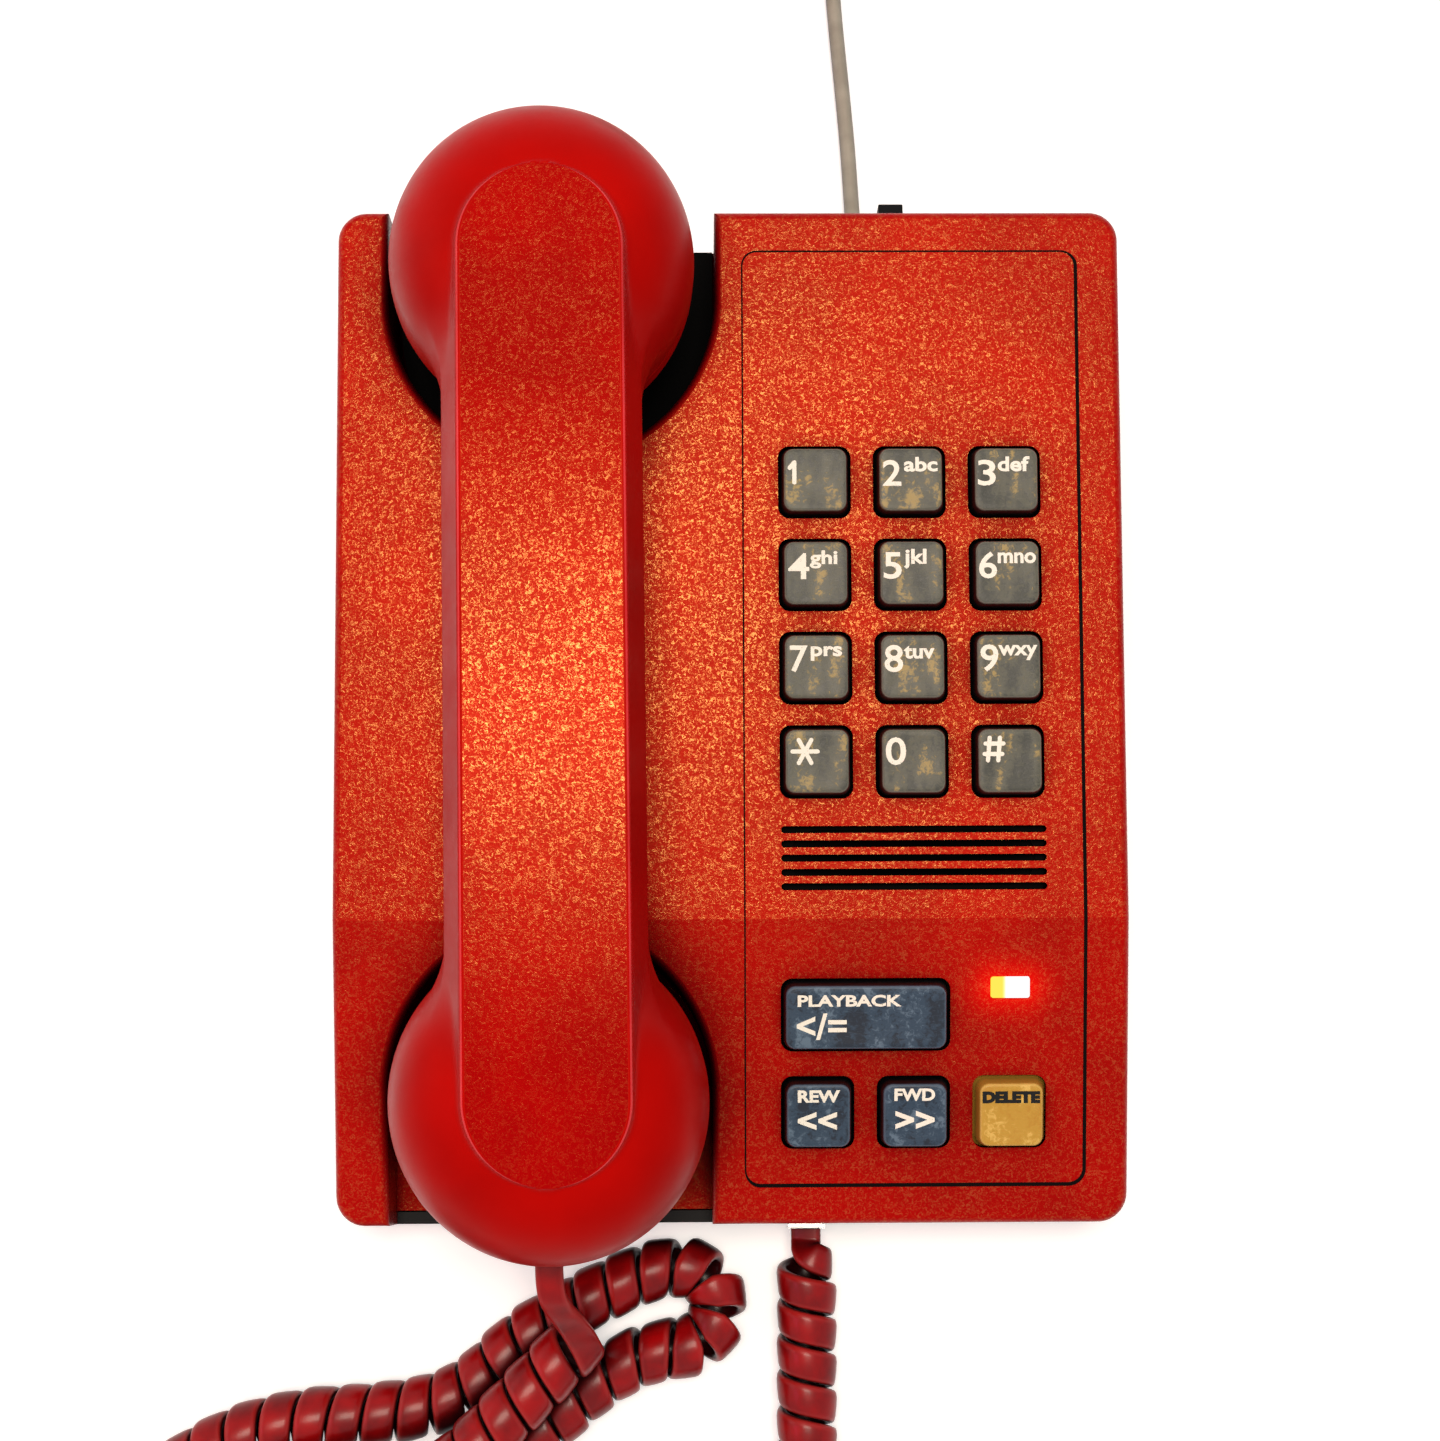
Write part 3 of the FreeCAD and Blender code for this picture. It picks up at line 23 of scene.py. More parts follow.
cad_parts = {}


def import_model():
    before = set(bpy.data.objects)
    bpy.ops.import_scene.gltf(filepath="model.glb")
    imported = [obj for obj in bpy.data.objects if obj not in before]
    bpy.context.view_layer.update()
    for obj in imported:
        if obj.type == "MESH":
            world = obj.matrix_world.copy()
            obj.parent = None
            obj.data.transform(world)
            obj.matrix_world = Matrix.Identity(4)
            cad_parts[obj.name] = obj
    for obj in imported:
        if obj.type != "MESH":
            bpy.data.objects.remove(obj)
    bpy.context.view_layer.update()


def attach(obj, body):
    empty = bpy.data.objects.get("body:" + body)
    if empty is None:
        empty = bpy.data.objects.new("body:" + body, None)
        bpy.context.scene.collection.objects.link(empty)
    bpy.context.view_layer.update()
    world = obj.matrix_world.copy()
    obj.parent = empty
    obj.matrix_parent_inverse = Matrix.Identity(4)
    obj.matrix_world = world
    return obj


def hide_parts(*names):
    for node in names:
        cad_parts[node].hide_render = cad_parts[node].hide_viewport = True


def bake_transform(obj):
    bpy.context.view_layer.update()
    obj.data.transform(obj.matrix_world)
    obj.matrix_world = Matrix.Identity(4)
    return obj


LOG = logging.getLogger("telephone")
MM = 0.001
TAU = 2.0 * math.pi
Colour = tuple[float, float, float, float]
Tree = bpy.types.NodeTree
Socket = bpy.types.NodeSocket
Surface = tuple[np.ndarray, list[list[int]]]


# ---------------------------------------------------------------- colours, nodes and meshes

def linear(code: str) -> Colour:
    """Turns an sRGB hex colour into linear light.

    Args:
        code: six hex digits with a leading #.

    Returns:
        Red, green, blue in linear light, and an alpha of 1.
    """
    raw = np.array([int(code[i:i + 2], 16) for i in (1, 3, 5)]) / 255.0
    light = np.where(raw <= 0.04045, raw / 12.92, ((raw + 0.055) / 1.055) ** 2.4)
    return (float(light[0]), float(light[1]), float(light[2]), 1.0)


def add_node(tree: Tree, kind: str, links: Mapping[Any, Any] | None = None,
             **settings: Any) -> bpy.types.Node:
    """Adds one shader node with its settings and its incoming links.

    Args:
        tree: the node tree that gets the node.
        kind: the node's type name, such as ShaderNodeTexNoise.
        links: for each input, by name or number, the output socket that feeds it or a fixed value.
        settings: attributes of the node itself, and stops for a colour ramp's (position, colour) list.

    Returns:
        The new node.
    """
    node = tree.nodes.new(kind)
    stops = settings.pop("stops", None)
    for name, value in settings.items():
        setattr(node, name, value)
    if stops:
        ramp = node.color_ramp
        while len(ramp.elements) < len(stops):
            ramp.elements.new(0.5)
        for element, (position, colour) in zip(ramp.elements, stops):
            element.position = position
            element.color = colour
    for name, value in (links or {}).items():
        if isinstance(value, Socket):
            tree.links.new(value, node.inputs[name])
        else:
            node.inputs[name].default_value = value
    return node


def noise(tree: Tree, place: Socket, scale: float, detail: float = 2.0, **more: float) -> Socket:
    """A cloudy noise from 0 to 1 of this scale and detail, with its other inputs by name."""
    inputs = {"Vector": place, "Scale": scale, "Detail": detail, **more}
    return add_node(tree, "ShaderNodeTexNoise", inputs).outputs["Fac"]


def toned(tree: Tree, value: Socket, *stops: tuple[float, str]) -> Socket:
    """The colour that a value picks from stops of a position and a hex colour, mixed between them."""
    colours = [(position, linear(code)) for position, code in stops]
    return add_node(tree, "ShaderNodeValToRGB", {"Fac": value}, stops=colours).outputs["Color"]


def mixed(tree: Tree, share: Socket, first: Socket | str, second: Socket | str) -> Socket:
    """Mixes two colours, each a socket or a hex colour, with this share of the second."""
    ends = {name: linear(end) if isinstance(end, str) else end for name, end in (("A", first), ("B", second))}
    return add_node(tree, "ShaderNodeMix", {"Factor": share, **ends}, data_type="RGBA").outputs["Result"]


def ranged(tree: Tree, value: Socket, low: float, high: float, start: float = 0.0, end: float = 1.0,
           **settings: Any) -> Socket:
    """Stretches a value's run from start to end over low to high, and holds it at both."""
    inputs = {"Value": value, "From Min": start, "From Max": end, "To Min": low, "To Max": high}
    return add_node(tree, "ShaderNodeMapRange", inputs, **settings).outputs["Result"]


def maths(tree: Tree, kind: str, first: Socket | float, second: Socket | float = 0.0) -> Socket:
    """The result of one sum, such as MULTIPLY."""
    return add_node(tree, "ShaderNodeMath", {0: first, 1: second}, operation=kind).outputs["Value"]


def bumped(tree: Tree, height: Socket, strength: float, distance: float) -> Socket:
    """The surface's direction as a height tips it, with the height's distance in metres."""
    inputs = {"Height": height, "Strength": strength, "Distance": distance}
    return add_node(tree, "ShaderNodeBump", inputs).outputs["Normal"]


def mesh_object(name: str, points: np.ndarray, faces: Sequence[Sequence[int]] | np.ndarray,
                smooth: bool = True) -> bpy.types.Object:
    """Makes a mesh object at the origin from points in metres.

    Args:
        name: the piece's name.
        points: an (n, 3) array.
        faces: corner numbers of each face, counter-clockwise seen from outside.
        smooth: whether the faces are shaded smooth.

    Returns:
        The object, linked to the scene.
    """
    mesh = bpy.data.meshes.new(name)
    rows = faces.tolist() if isinstance(faces, np.ndarray) else faces
    mesh.from_pydata(points.tolist(), [], rows)
    mesh.update()
    mesh.polygons.foreach_set("use_smooth", np.full(len(mesh.polygons), smooth))
    made = bpy.data.objects.new(name, mesh)
    bpy.context.scene.collection.objects.link(made)
    return made


def mark(piece: bpy.types.Object, name: str, values: np.ndarray) -> None:
    """Gives each point of a piece a number that its material reads by this name."""
    made = piece.data.attributes.new(name, "FLOAT", "POINT")
    made.data.foreach_set("value", values.astype(np.float32))


def weld(piece: bpy.types.Object, reach: float = 2e-6) -> None:
    """Merges points that fall together, so that shading runs smoothly over a pole.

    Args:
        piece: the piece to weld.
        reach: how near two points are merged, in metres.
    """
    work = bmesh.new()
    work.from_mesh(piece.data)
    bmesh.ops.remove_doubles(work, verts=work.verts, dist=reach)
    bmesh.ops.dissolve_degenerate(work, edges=work.edges, dist=reach)
    work.to_mesh(piece.data)
    work.free()


def grid_faces(rows: int, columns: int, around: bool = True) -> np.ndarray:
    """Quads between the points of a grid, row by row.

    Args:
        rows: how many rows of points.
        columns: how many points in a row.
        around: whether the last point of a row joins its first.

    Returns:
        An (n, 4) array of corner numbers. Face (i, j) joins points (i, j), (i, j+1), (i+1, j+1), (i+1, j).
    """
    across = columns if around else columns - 1
    i, j = np.meshgrid(np.arange(rows - 1), np.arange(across), indexing="ij")
    k = (j + 1) % columns
    quads = np.stack([i * columns + j, i * columns + k, (i + 1) * columns + k, (i + 1) * columns + j], -1)
    return quads.reshape(-1, 4)


def closed_grid(grid: np.ndarray, flip: bool = False) -> Surface:
    """Closes a grid of rings at both ends with a fan to the middle of its first and last ring.

    Args:
        grid: a (rings, points, 3) array.
        flip: whether the faces' order is turned round.

    Returns:
        The points and the faces.
    """
    rings, columns, _ = grid.shape
    middles = np.stack([grid[0].mean(0), grid[-1].mean(0)])
    points = np.concatenate([grid.reshape(-1, 3), middles])
    first, last = rings * columns, rings * columns + 1
    start = (rings - 1) * columns
    faces = grid_faces(rings, columns).tolist()
    faces += [[first, (j + 1) % columns, j] for j in range(columns)]
    faces += [[last, start + j, start + (j + 1) % columns] for j in range(columns)]
    if flip:
        faces = [face[::-1] for face in faces]
    return points, faces


def joined_parts(parts: Sequence[Surface]) -> Surface:
    """Puts several (points, faces) pairs into one.

    Args:
        parts: the pairs.

    Returns:
        All the points, and the faces with their numbers moved on.
    """
    points: list[np.ndarray] = []
    faces: list[list[int]] = []
    count = 0
    for some_points, some_faces in parts:
        points.append(some_points)
        faces += [[corner + count for corner in face] for face in some_faces]
        count += len(some_points)
    return np.concatenate(points), faces


def smooth_step(value: np.ndarray | float) -> np.ndarray:
    """0 below 0, 1 above 1, and 3t² - 2t³ between."""
    t = np.clip(value, 0.0, 1.0)
    return t * t * (3.0 - 2.0 * t)


def nurbs_curve(name: str, route: Sequence[Sequence[float]], fineness: int) -> bpy.types.Curve:
    """Makes a smooth NURBS curve that starts and ends at its first and last control point.

    Args:
        name: the curve's name.
        route: control points in metres.
        fineness: how many points Blender puts in each span.

    Returns:
        The curve's data.
    """
    curve = bpy.data.curves.new(name, "CURVE")
    curve.dimensions = "3D"
    curve.resolution_u = fineness
    spline = curve.splines.new("NURBS")
    spline.points.add(len(route) - 1)
    for point, place in zip(spline.points, route):
        point.co = (*place, 1.0)
    spline.order_u = 3
    spline.use_endpoint_u = True
    return curve


def drawn_out(curve: bpy.types.Curve) -> Surface:
    """Turns a curve or a text into points and faces, and removes it.

    Args:
        curve: the curve's or text's data.

    Returns:
        Its points and faces as Blender draws it.
    """
    holder = bpy.data.objects.new("holder", curve)
    mesh = bpy.data.meshes.new_from_object(holder)
    points = np.empty(len(mesh.vertices) * 3)
    mesh.vertices.foreach_get("co", points)
    faces = [list(polygon.vertices) for polygon in mesh.polygons]
    bpy.data.objects.remove(holder)
    bpy.data.meshes.remove(mesh)
    bpy.data.curves.remove(curve)
    return points.reshape(-1, 3), faces


def spline_line(route: Sequence[Sequence[float]], fineness: int = 24) -> np.ndarray:
    """Reads points in metres along the smooth spline that has these control points."""
    return drawn_out(nurbs_curve("route", route, fineness))[0]


def raised(flat: np.ndarray, height: float) -> np.ndarray:
    """Flat (x, s) points as drawn (x, s, h) points at one height."""
    return np.column_stack([flat, np.full(len(flat), height)])


def rounded_corners(half: Sequence[float], corner: float, count: int) -> list[np.ndarray]:
    """The four quarter circles of a rounded rectangle round the origin, counter-clockwise from +x +s.

    Args:
        half: half the rectangle's length and width.
        corner: its corner radius.
        count: how many points a quarter circle has.

    Returns:
        Four (count, 2) arrays.
    """
    arcs = []
    for k, way in enumerate(((1, 1), (-1, 1), (-1, -1), (1, -1))):
        angle = np.linspace(0.0, 0.5 * math.pi, count) + k * 0.5 * math.pi
        turned = np.stack([np.cos(angle), np.sin(angle)], -1)
        arcs.append(np.array(way) * (np.array(half) - corner) + corner * turned)
    return arcs


def evenly(line: np.ndarray, count: int) -> tuple[np.ndarray, float]:
    """Spreads points evenly along a line by its arc length.

    Args:
        line: an (n, 3) array of points.
        count: how many points are wanted.

    Returns:
        The (count, 3) points and the line's length.
    """
    steps = np.linalg.norm(np.diff(line, axis=0), axis=1)
    travelled = np.concatenate([[0.0], np.cumsum(steps)])
    wanted = np.linspace(0.0, travelled[-1], count)
    spread = np.stack([np.interp(wanted, travelled, line[:, k]) for k in range(line.shape[1])], -1)
    return spread, float(travelled[-1])


def unit(vectors: np.ndarray) -> np.ndarray:
    """The same directions with a length of 1."""
    return vectors / np.maximum(np.linalg.norm(vectors, axis=-1, keepdims=True), 1e-12)


def line_length(line: np.ndarray) -> float:
    """The length of a line of points."""
    return float(np.linalg.norm(np.diff(line, axis=0), axis=1).sum())


@dataclass(frozen=True)
class SlopingFace:
    """One of the case's two upper faces, and the drawing frame that lies on it.

    Attributes:
        slope: the face's slope in degrees.
        crease_y: where the crease between the faces lies.
        crease_z: the crease's height.
    """

    slope: float
    crease_y: float = -43.112
    crease_z: float = 42.0

    def place(self, drawn: np.ndarray) -> np.ndarray:
        """Turns drawn points into the frame's, by a turn of the slope about the crease.

        Args:
            drawn: (x, s, h) points in millimetres, in an array of any shape that ends in 3.

        Returns:
            The same points as (x, y, z) in metres.
        """
        a = math.radians(self.slope)
        x, s, h = drawn[..., 0], drawn[..., 1], drawn[..., 2]
        y = self.crease_y + s * math.cos(a) - h * math.sin(a)
        z = self.crease_z + s * math.sin(a) + h * math.cos(a)
        return np.stack([x, y, z], -1) * MM


UPPER = SlopingFace(10.0)
LOWER = SlopingFace(16.27)


# ---------------------------------------------------------------- finishes

def openness(tree: Tree, reach: float = 0.016) -> Socket:
    """How open a point is: 1 in the open, 0 in tight recesses, where the finishes take a painted shade: their
    colour darkens and their gloss drops.

    Args:
        tree: the material's nodes.
        reach: how far off a wall may be and still count, in metres.

    Returns:
        The share.
    """
    sky = add_node(tree, "ShaderNodeAmbientOcclusion", {"Distance": reach}, samples=8)
    return ranged(tree, sky.outputs["AO"], 0.0, 1.0, 0.35, 0.95)


def plain_shader(name: str) -> tuple[bpy.types.Material, Tree, bpy.types.Node, Socket]:
    """Makes a material that holds only its shader.

    Args:
        name: the material's name.

    Returns:
        The material, its node tree, its principled shader, and the place in the piece's own metres.
    """
    material = bpy.data.materials.new(name)
    material.use_nodes = True
    tree = material.node_tree
    place = add_node(tree, "ShaderNodeTexCoord").outputs["Object"]
    return material, tree, tree.nodes["Principled BSDF"], place


def backdrop_rays(tree: Tree) -> Socket:
    """Picks out the rays that show the background: from the camera, off a gloss, and through clear plastic.

    Args:
        tree: the nodes of the table's material or of the world.

    Returns:
        1 for those rays and 0 for the others.
    """
    path = add_node(tree, "ShaderNodeLightPath").outputs
    mirrored = maths(tree, "MAXIMUM", path["Is Camera Ray"], path["Is Glossy Ray"])
    return maths(tree, "MAXIMUM", mirrored, path["Is Transmission Ray"])


def set_sockets(shader: bpy.types.Node, **values: Any) -> None:
    """Feeds or sets the shader's own sockets.

    Args:
        shader: the shader.
        values: for each socket, with _ in its name for a space, the output that feeds it or a fixed value.
    """
    for name, value in values.items():
        socket = shader.inputs[name.replace("_", " ")]
        if isinstance(value, Socket):
            shader.id_data.links.new(value, socket)
        else:
            socket.default_value = value


@dataclass(frozen=True)
class LampGlow:
    """The lamp's light as it soaks through the plastic round its window.

    Attributes:
        middle: the window's middle, in metres.
        half: half the window's length in metres.
        reach: how far the light soaks, in metres.
        colour: the colour the plastic gives it.
        strength: how bright it is at the window's edge.
        fall: the power of the nearness with which it fades.
    """

    middle: tuple[float, float, float]
    half: float = 0.0026
    reach: float = 0.0105
    colour: str = "#FF0A00"
    strength: float = 0.75
    fall: float = 2.2

    def add(self, tree: Tree, shader: bpy.types.Node, place: Socket) -> None:
        """Adds the glow: strength (1 - d / reach) ^ fall, with d the distance from the window's middle line.

        Args:
            tree: the material's nodes.
            shader: its shader, which gives out the glow.
            place: the place in the piece's own metres.
        """
        offset = add_node(tree, "ShaderNodeVectorMath", {0: place, 1: self.middle}, operation="SUBTRACT")
        parts = add_node(tree, "ShaderNodeSeparateXYZ", {0: offset.outputs[0]}).outputs
        past = maths(tree, "SUBTRACT", maths(tree, "ABSOLUTE", parts["X"]), self.half)
        joined = add_node(tree, "ShaderNodeCombineXYZ", {0: maths(tree, "MAXIMUM", past, 0.0), 1: parts["Y"],
                                                         2: parts["Z"]})
        away = add_node(tree, "ShaderNodeVectorMath", {0: joined.outputs[0]}, operation="LENGTH")
        near = ranged(tree, away.outputs["Value"], 1.0, 0.0, end=self.reach)
        power = maths(tree, "MULTIPLY", maths(tree, "POWER", near, self.fall), self.strength)
        set_sockets(shader, Emission_Strength=power, Emission_Color=linear(self.colour))


@dataclass(frozen=True)
class MouldedPlastic:
    """ABS from an injection mould whose face was spark eroded, which leaves a fine even grain.

    Attributes:
        name: the material's name.
        colour: the plastic's colour.
        shade: the colour of its slow, slightly darker drifts.
        glint: the colour painted on the tops of the grain as a highlight.
        grain: the distance between grains in millimetres, drawn a little coarse so that it shows.
        depth: how strongly the grain tips the surface, 0 to 1.
        rough: roughness between the grains.
        polished: roughness on the grain tops, which handling has rubbed smooth.
        glints: how much of that painted highlight colour the grain tops take, 0 to 1.
        tint: the colour of the gloss between the grains, which deep pigment turns towards its own.
        top_tint: the colour of the gloss on the grain tops.
        sheen_level: how much it reflects seen square on, with 0.5 for a common plastic.
        drift: the distance between the slow drifts in millimetres.
        worms: how strongly the grain is drawn out into short crooked worms.
        painted_shade: the painted shade colour that it darkens towards in tight recesses.
        ior: its index of refraction.
        rubbed: the y of the middle of the stretch that hands have polished, and its half length, in
            metres, if there is one.
        unrubbed: the share of the gloss that is left past that stretch.
        glow: light that soaks through it, if any.
    """

    name: str
    colour: str
    shade: str
    glint: str
    grain: float
    depth: float
    rough: float
    polished: float
    glints: float
    tint: str
    top_tint: str
    sheen_level: float
    drift: float = 28.0
    worms: float = 1.4
    painted_shade: str = "#1E0004"
    ior: float = 1.53
    rubbed: tuple[float, float] | None = None
    unrubbed: float = 0.12
    glow: LampGlow | None = None

    def material(self) -> bpy.types.Material:
        """Builds the material: drifting base colour, grain tops with painted glints, painted shade in
        recesses, grain in the bump.

        Returns:
            The material.
        """
        material, tree, shader, place = plain_shader(self.name)
        drift = toned(tree, noise(tree, place, 1000.0 / self.drift, 3.0, Roughness=0.55),
                      (0.38, self.shade), (0.62, self.colour))
        fine = noise(tree, place, 1000.0 / self.grain, Roughness=0.6, Distortion=self.worms)
        tops = ranged(tree, fine, 0.0, 1.0, 0.5, 0.66)
        # The grain tops take a little of the glint colour: a painted highlight.
        colour = mixed(tree, maths(tree, "MULTIPLY", tops, self.glints), drift, self.glint)
        # In tight recesses the colour darkens towards the gap colour and the gloss drops: painted shade.
        unshaded = openness(tree)
        shine = self.rub(tree, place) if self.rubbed else self.sheen_level
        set_sockets(shader, Base_Color=mixed(tree, unshaded, self.painted_shade, colour), IOR=self.ior,
                    Roughness=ranged(tree, tops, self.rough, self.polished),
                    Specular_Tint=mixed(tree, tops, self.tint, self.top_tint),
                    Specular_IOR_Level=maths(tree, "MULTIPLY", unshaded, shine),
                    Normal=bumped(tree, fine, self.depth, 0.25 * self.grain * MM))
        if self.glow:
            self.glow.add(tree, shader, place)
        return material

    def rub(self, tree: Tree, place: Socket) -> Socket:
        """The gloss of a part that hands have rubbed along one stretch: full there, and dull past its ends.

        Args:
            tree: the material's nodes.
            place: the place in the piece's own metres.

        Returns:
            How much it reflects seen square on.
        """
        middle, half = self.rubbed
        along = add_node(tree, "ShaderNodeSeparateXYZ", {0: place}).outputs["Y"]
        away = maths(tree, "ABSOLUTE", maths(tree, "SUBTRACT", along, middle))
        return ranged(tree, away, self.sheen_level, self.unrubbed * self.sheen_level, end=half,
                      interpolation_type="SMOOTHSTEP")


@dataclass(frozen=True)
class SatinPlastic:
    """ABS from a mould whose face was stoned smooth: a soft sheen with only faint ripples and scuffs.

    Attributes:
        name: the material's name.
        colour: the plastic's colour.
        shade: the colour of its slow darker drifts.
        tint: the colour of the gloss where it is seen square on.
        rough: the mean roughness.
        gloss: how much it reflects seen square on, with 0.5 for a common plastic.
    """

    name: str
    colour: str
    shade: str
    tint: str
    rough: float = 0.38
    gloss: float = 0.2

    def material(self) -> bpy.types.Material:
        """Builds the plastic: slow drifts in colour, and a roughness that handling has made uneven.

        Returns:
            The material.
        """
        material, tree, shader, place = plain_shader(self.name)
        wiped = noise(tree, place, 110.0, 5.0, Roughness=0.65)
        set_sockets(shader, IOR=1.52, Specular_Tint=linear(self.tint), Specular_IOR_Level=self.gloss,
                    Base_Color=toned(tree, noise(tree, place, 45.0, 4.0), (0.35, self.shade),
                                     (0.65, self.colour)),
                    Roughness=ranged(tree, wiped, self.rough - 0.06, self.rough + 0.08, 0.3, 0.7),
                    Normal=bumped(tree, noise(tree, place, 900.0), 0.06, 0.0002))
        return material


@dataclass(frozen=True)
class PlainMetal:
    """A plated or drawn metal with fine marks along one direction.

    Attributes:
        name: the material's name.
        colour: the metal's colour.
        marks: the colour of its drawn marks.
        rough: its mean roughness.
    """

    name: str
    colour: str
    marks: str
    rough: float

    def material(self) -> bpy.types.Material:
        """Builds the metal: its colour varies along fine drawn marks.

        Returns:
            The material.
        """
        material, tree, shader, place = plain_shader(self.name)
        drawn = add_node(tree, "ShaderNodeMapping", {"Vector": place, "Scale": (300.0, 2600.0, 900.0)})
        marks = noise(tree, drawn.outputs["Vector"], 1.0)
        set_sockets(shader, Metallic=1.0, Roughness=ranged(tree, marks, self.rough - 0.08, self.rough + 0.12),
                    Base_Color=toned(tree, marks, (0.35, self.marks), (0.65, self.colour)))
        return material


@dataclass(frozen=True)
class CordVinyl:
    """Soft PVC drawn over the wires; where the piece's edge attribute is high it is painted a little paler, as
    a highlight.

    Attributes:
        name: the material's name.
        colour: the vinyl's colour.
        shade: the colour of its darker clouds.
        edge: the colour of its outer edges, a painted highlight.
        rough: its roughness.
        coat: how strong its skin of clear gloss is.
        painted_shade: its colour between turns that touch, a painted shade.
        gloss: how much it reflects seen square on, with 0.5 for a common plastic.
        edge_start: the edge attribute at which the painted highlight begins.
        reach: how near the next turn must be for the painted shade, in metres.
    """

    name: str
    colour: str
    shade: str
    edge: str
    rough: float
    coat: float
    painted_shade: str
    gloss: float = 0.5
    edge_start: float = 0.62
    reach: float = 0.012

    def material(self) -> bpy.types.Material:
        """Builds the vinyl: a drifting colour, pale edges as a painted highlight, and painted shade in the
        gaps.

        Returns:
            The material.
        """
        material, tree, shader, place = plain_shader(self.name)
        drift = toned(tree, noise(tree, place, 160.0, 4.0), (0.35, self.shade), (0.65, self.colour))
        # The edge attribute paints a highlight on the turns' outer edges; the openness below paints shade
        # between the turns.
        wear_and_highlight = add_node(tree, "ShaderNodeAttribute", attribute_name="edge").outputs["Fac"]
        colour = mixed(tree, ranged(tree, wear_and_highlight, 0.0, 0.8, self.edge_start), drift, self.edge)
        set_sockets(shader, Base_Color=mixed(tree, openness(tree, self.reach), self.painted_shade, colour),
                    Normal=bumped(tree, noise(tree, place, 1400.0), 0.08, 0.0002), Roughness=self.rough,
                    IOR=1.54, Coat_Weight=self.coat, Coat_Roughness=0.12, Specular_IOR_Level=self.gloss)
        return material


@dataclass(frozen=True)
class PlainPlastic:
    """Unpainted moulded plastic, rubber or paper of one colour with a faint cloudiness.

    Attributes:
        name: the material's name.
        colour: its colour.
        shade: the colour of its darker clouds.
        rough: its roughness.
        gloss: how much it reflects seen square on, with 0.5 for a common plastic.
        grain: the size of its surface marks in millimetres.
        depth: how strongly the marks tip the surface.
    """

    name: str
    colour: str
    shade: str
    rough: float
    gloss: float = 0.5
    grain: float = 1.2
    depth: float = 0.1

    def material(self) -> bpy.types.Material:
        """Builds the material from a cloudy colour and fine marks in the bump.

        Returns:
            The material.
        """
        material, tree, shader, place = plain_shader(self.name)
        set_sockets(shader, Roughness=self.rough, Specular_IOR_Level=self.gloss,
                    Base_Color=toned(tree, noise(tree, place, 90.0, 4.0), (0.35, self.shade),
                                     (0.65, self.colour)),
                    Normal=bumped(tree, noise(tree, place, 1000.0 / self.grain), self.depth,
                                  0.2 * self.grain * MM))
        return material


@dataclass(frozen=True)
class ClearPlastic:
    """Polycarbonate moulded clear, a little hazy: light passes it and its edges stay visible.

    Attributes:
        name: the material's name.
        colour: its faint tint.
        passes: the share of the light that passes it.
    """

    name: str = "clear_polycarbonate"
    colour: str = "#E8ECE8"
    passes: float = 0.85

    def material(self) -> bpy.types.Material:
        """Builds the plastic with an uneven haze.

        Returns:
            The material.
        """
        material, tree, shader, place = plain_shader(self.name)
        haze = ranged(tree, noise(tree, place, 400.0, 3.0), 0.05, 0.2)
        set_sockets(shader, Roughness=haze, Base_Color=linear(self.colour), Transmission_Weight=self.passes,
                    IOR=1.585)
        return material


@dataclass(frozen=True)
class LampWindow:
    """The lit window: a diffusing lens that glows yellow at its left end and white over the rest.

    Attributes:
        middle: the x, in metres, at which yellow has half turned to white.
        blur: how far to each side of it the turn runs, in metres.
        body: the lens's own colour.
        strength: how bright it glows.
    """

    middle: float
    blur: float = 0.0004
    body: str = "#3A3426"
    strength: float = 1.1

    def material(self) -> bpy.types.Material:
        """Builds the lens, whose glow turns from yellow to white along x.

        Returns:
            The material.
        """
        material, tree, shader, place = plain_shader("lit_diffusing_lens")
        along = add_node(tree, "ShaderNodeSeparateXYZ", {0: place}).outputs["X"]
        turn = ranged(tree, along, 0.0, 1.0, self.middle - self.blur, self.middle + self.blur)
        glow = toned(tree, turn, (0.0, "#FBD834"), (0.5, "#FFEC8A"), (1.0, "#FFFFFF"))
        set_sockets(shader, Emission_Color=glow, Base_Color=linear(self.body), Roughness=0.35,
                    Emission_Strength=self.strength)
        return material


def paint(target: bpy.types.Object, material: bpy.types.Material) -> None:
    """Gives a piece or a carried-over solid this one material."""
    target.data.materials.clear()
    target.data.materials.append(material)


# ---------------------------------------------------------------- the studio

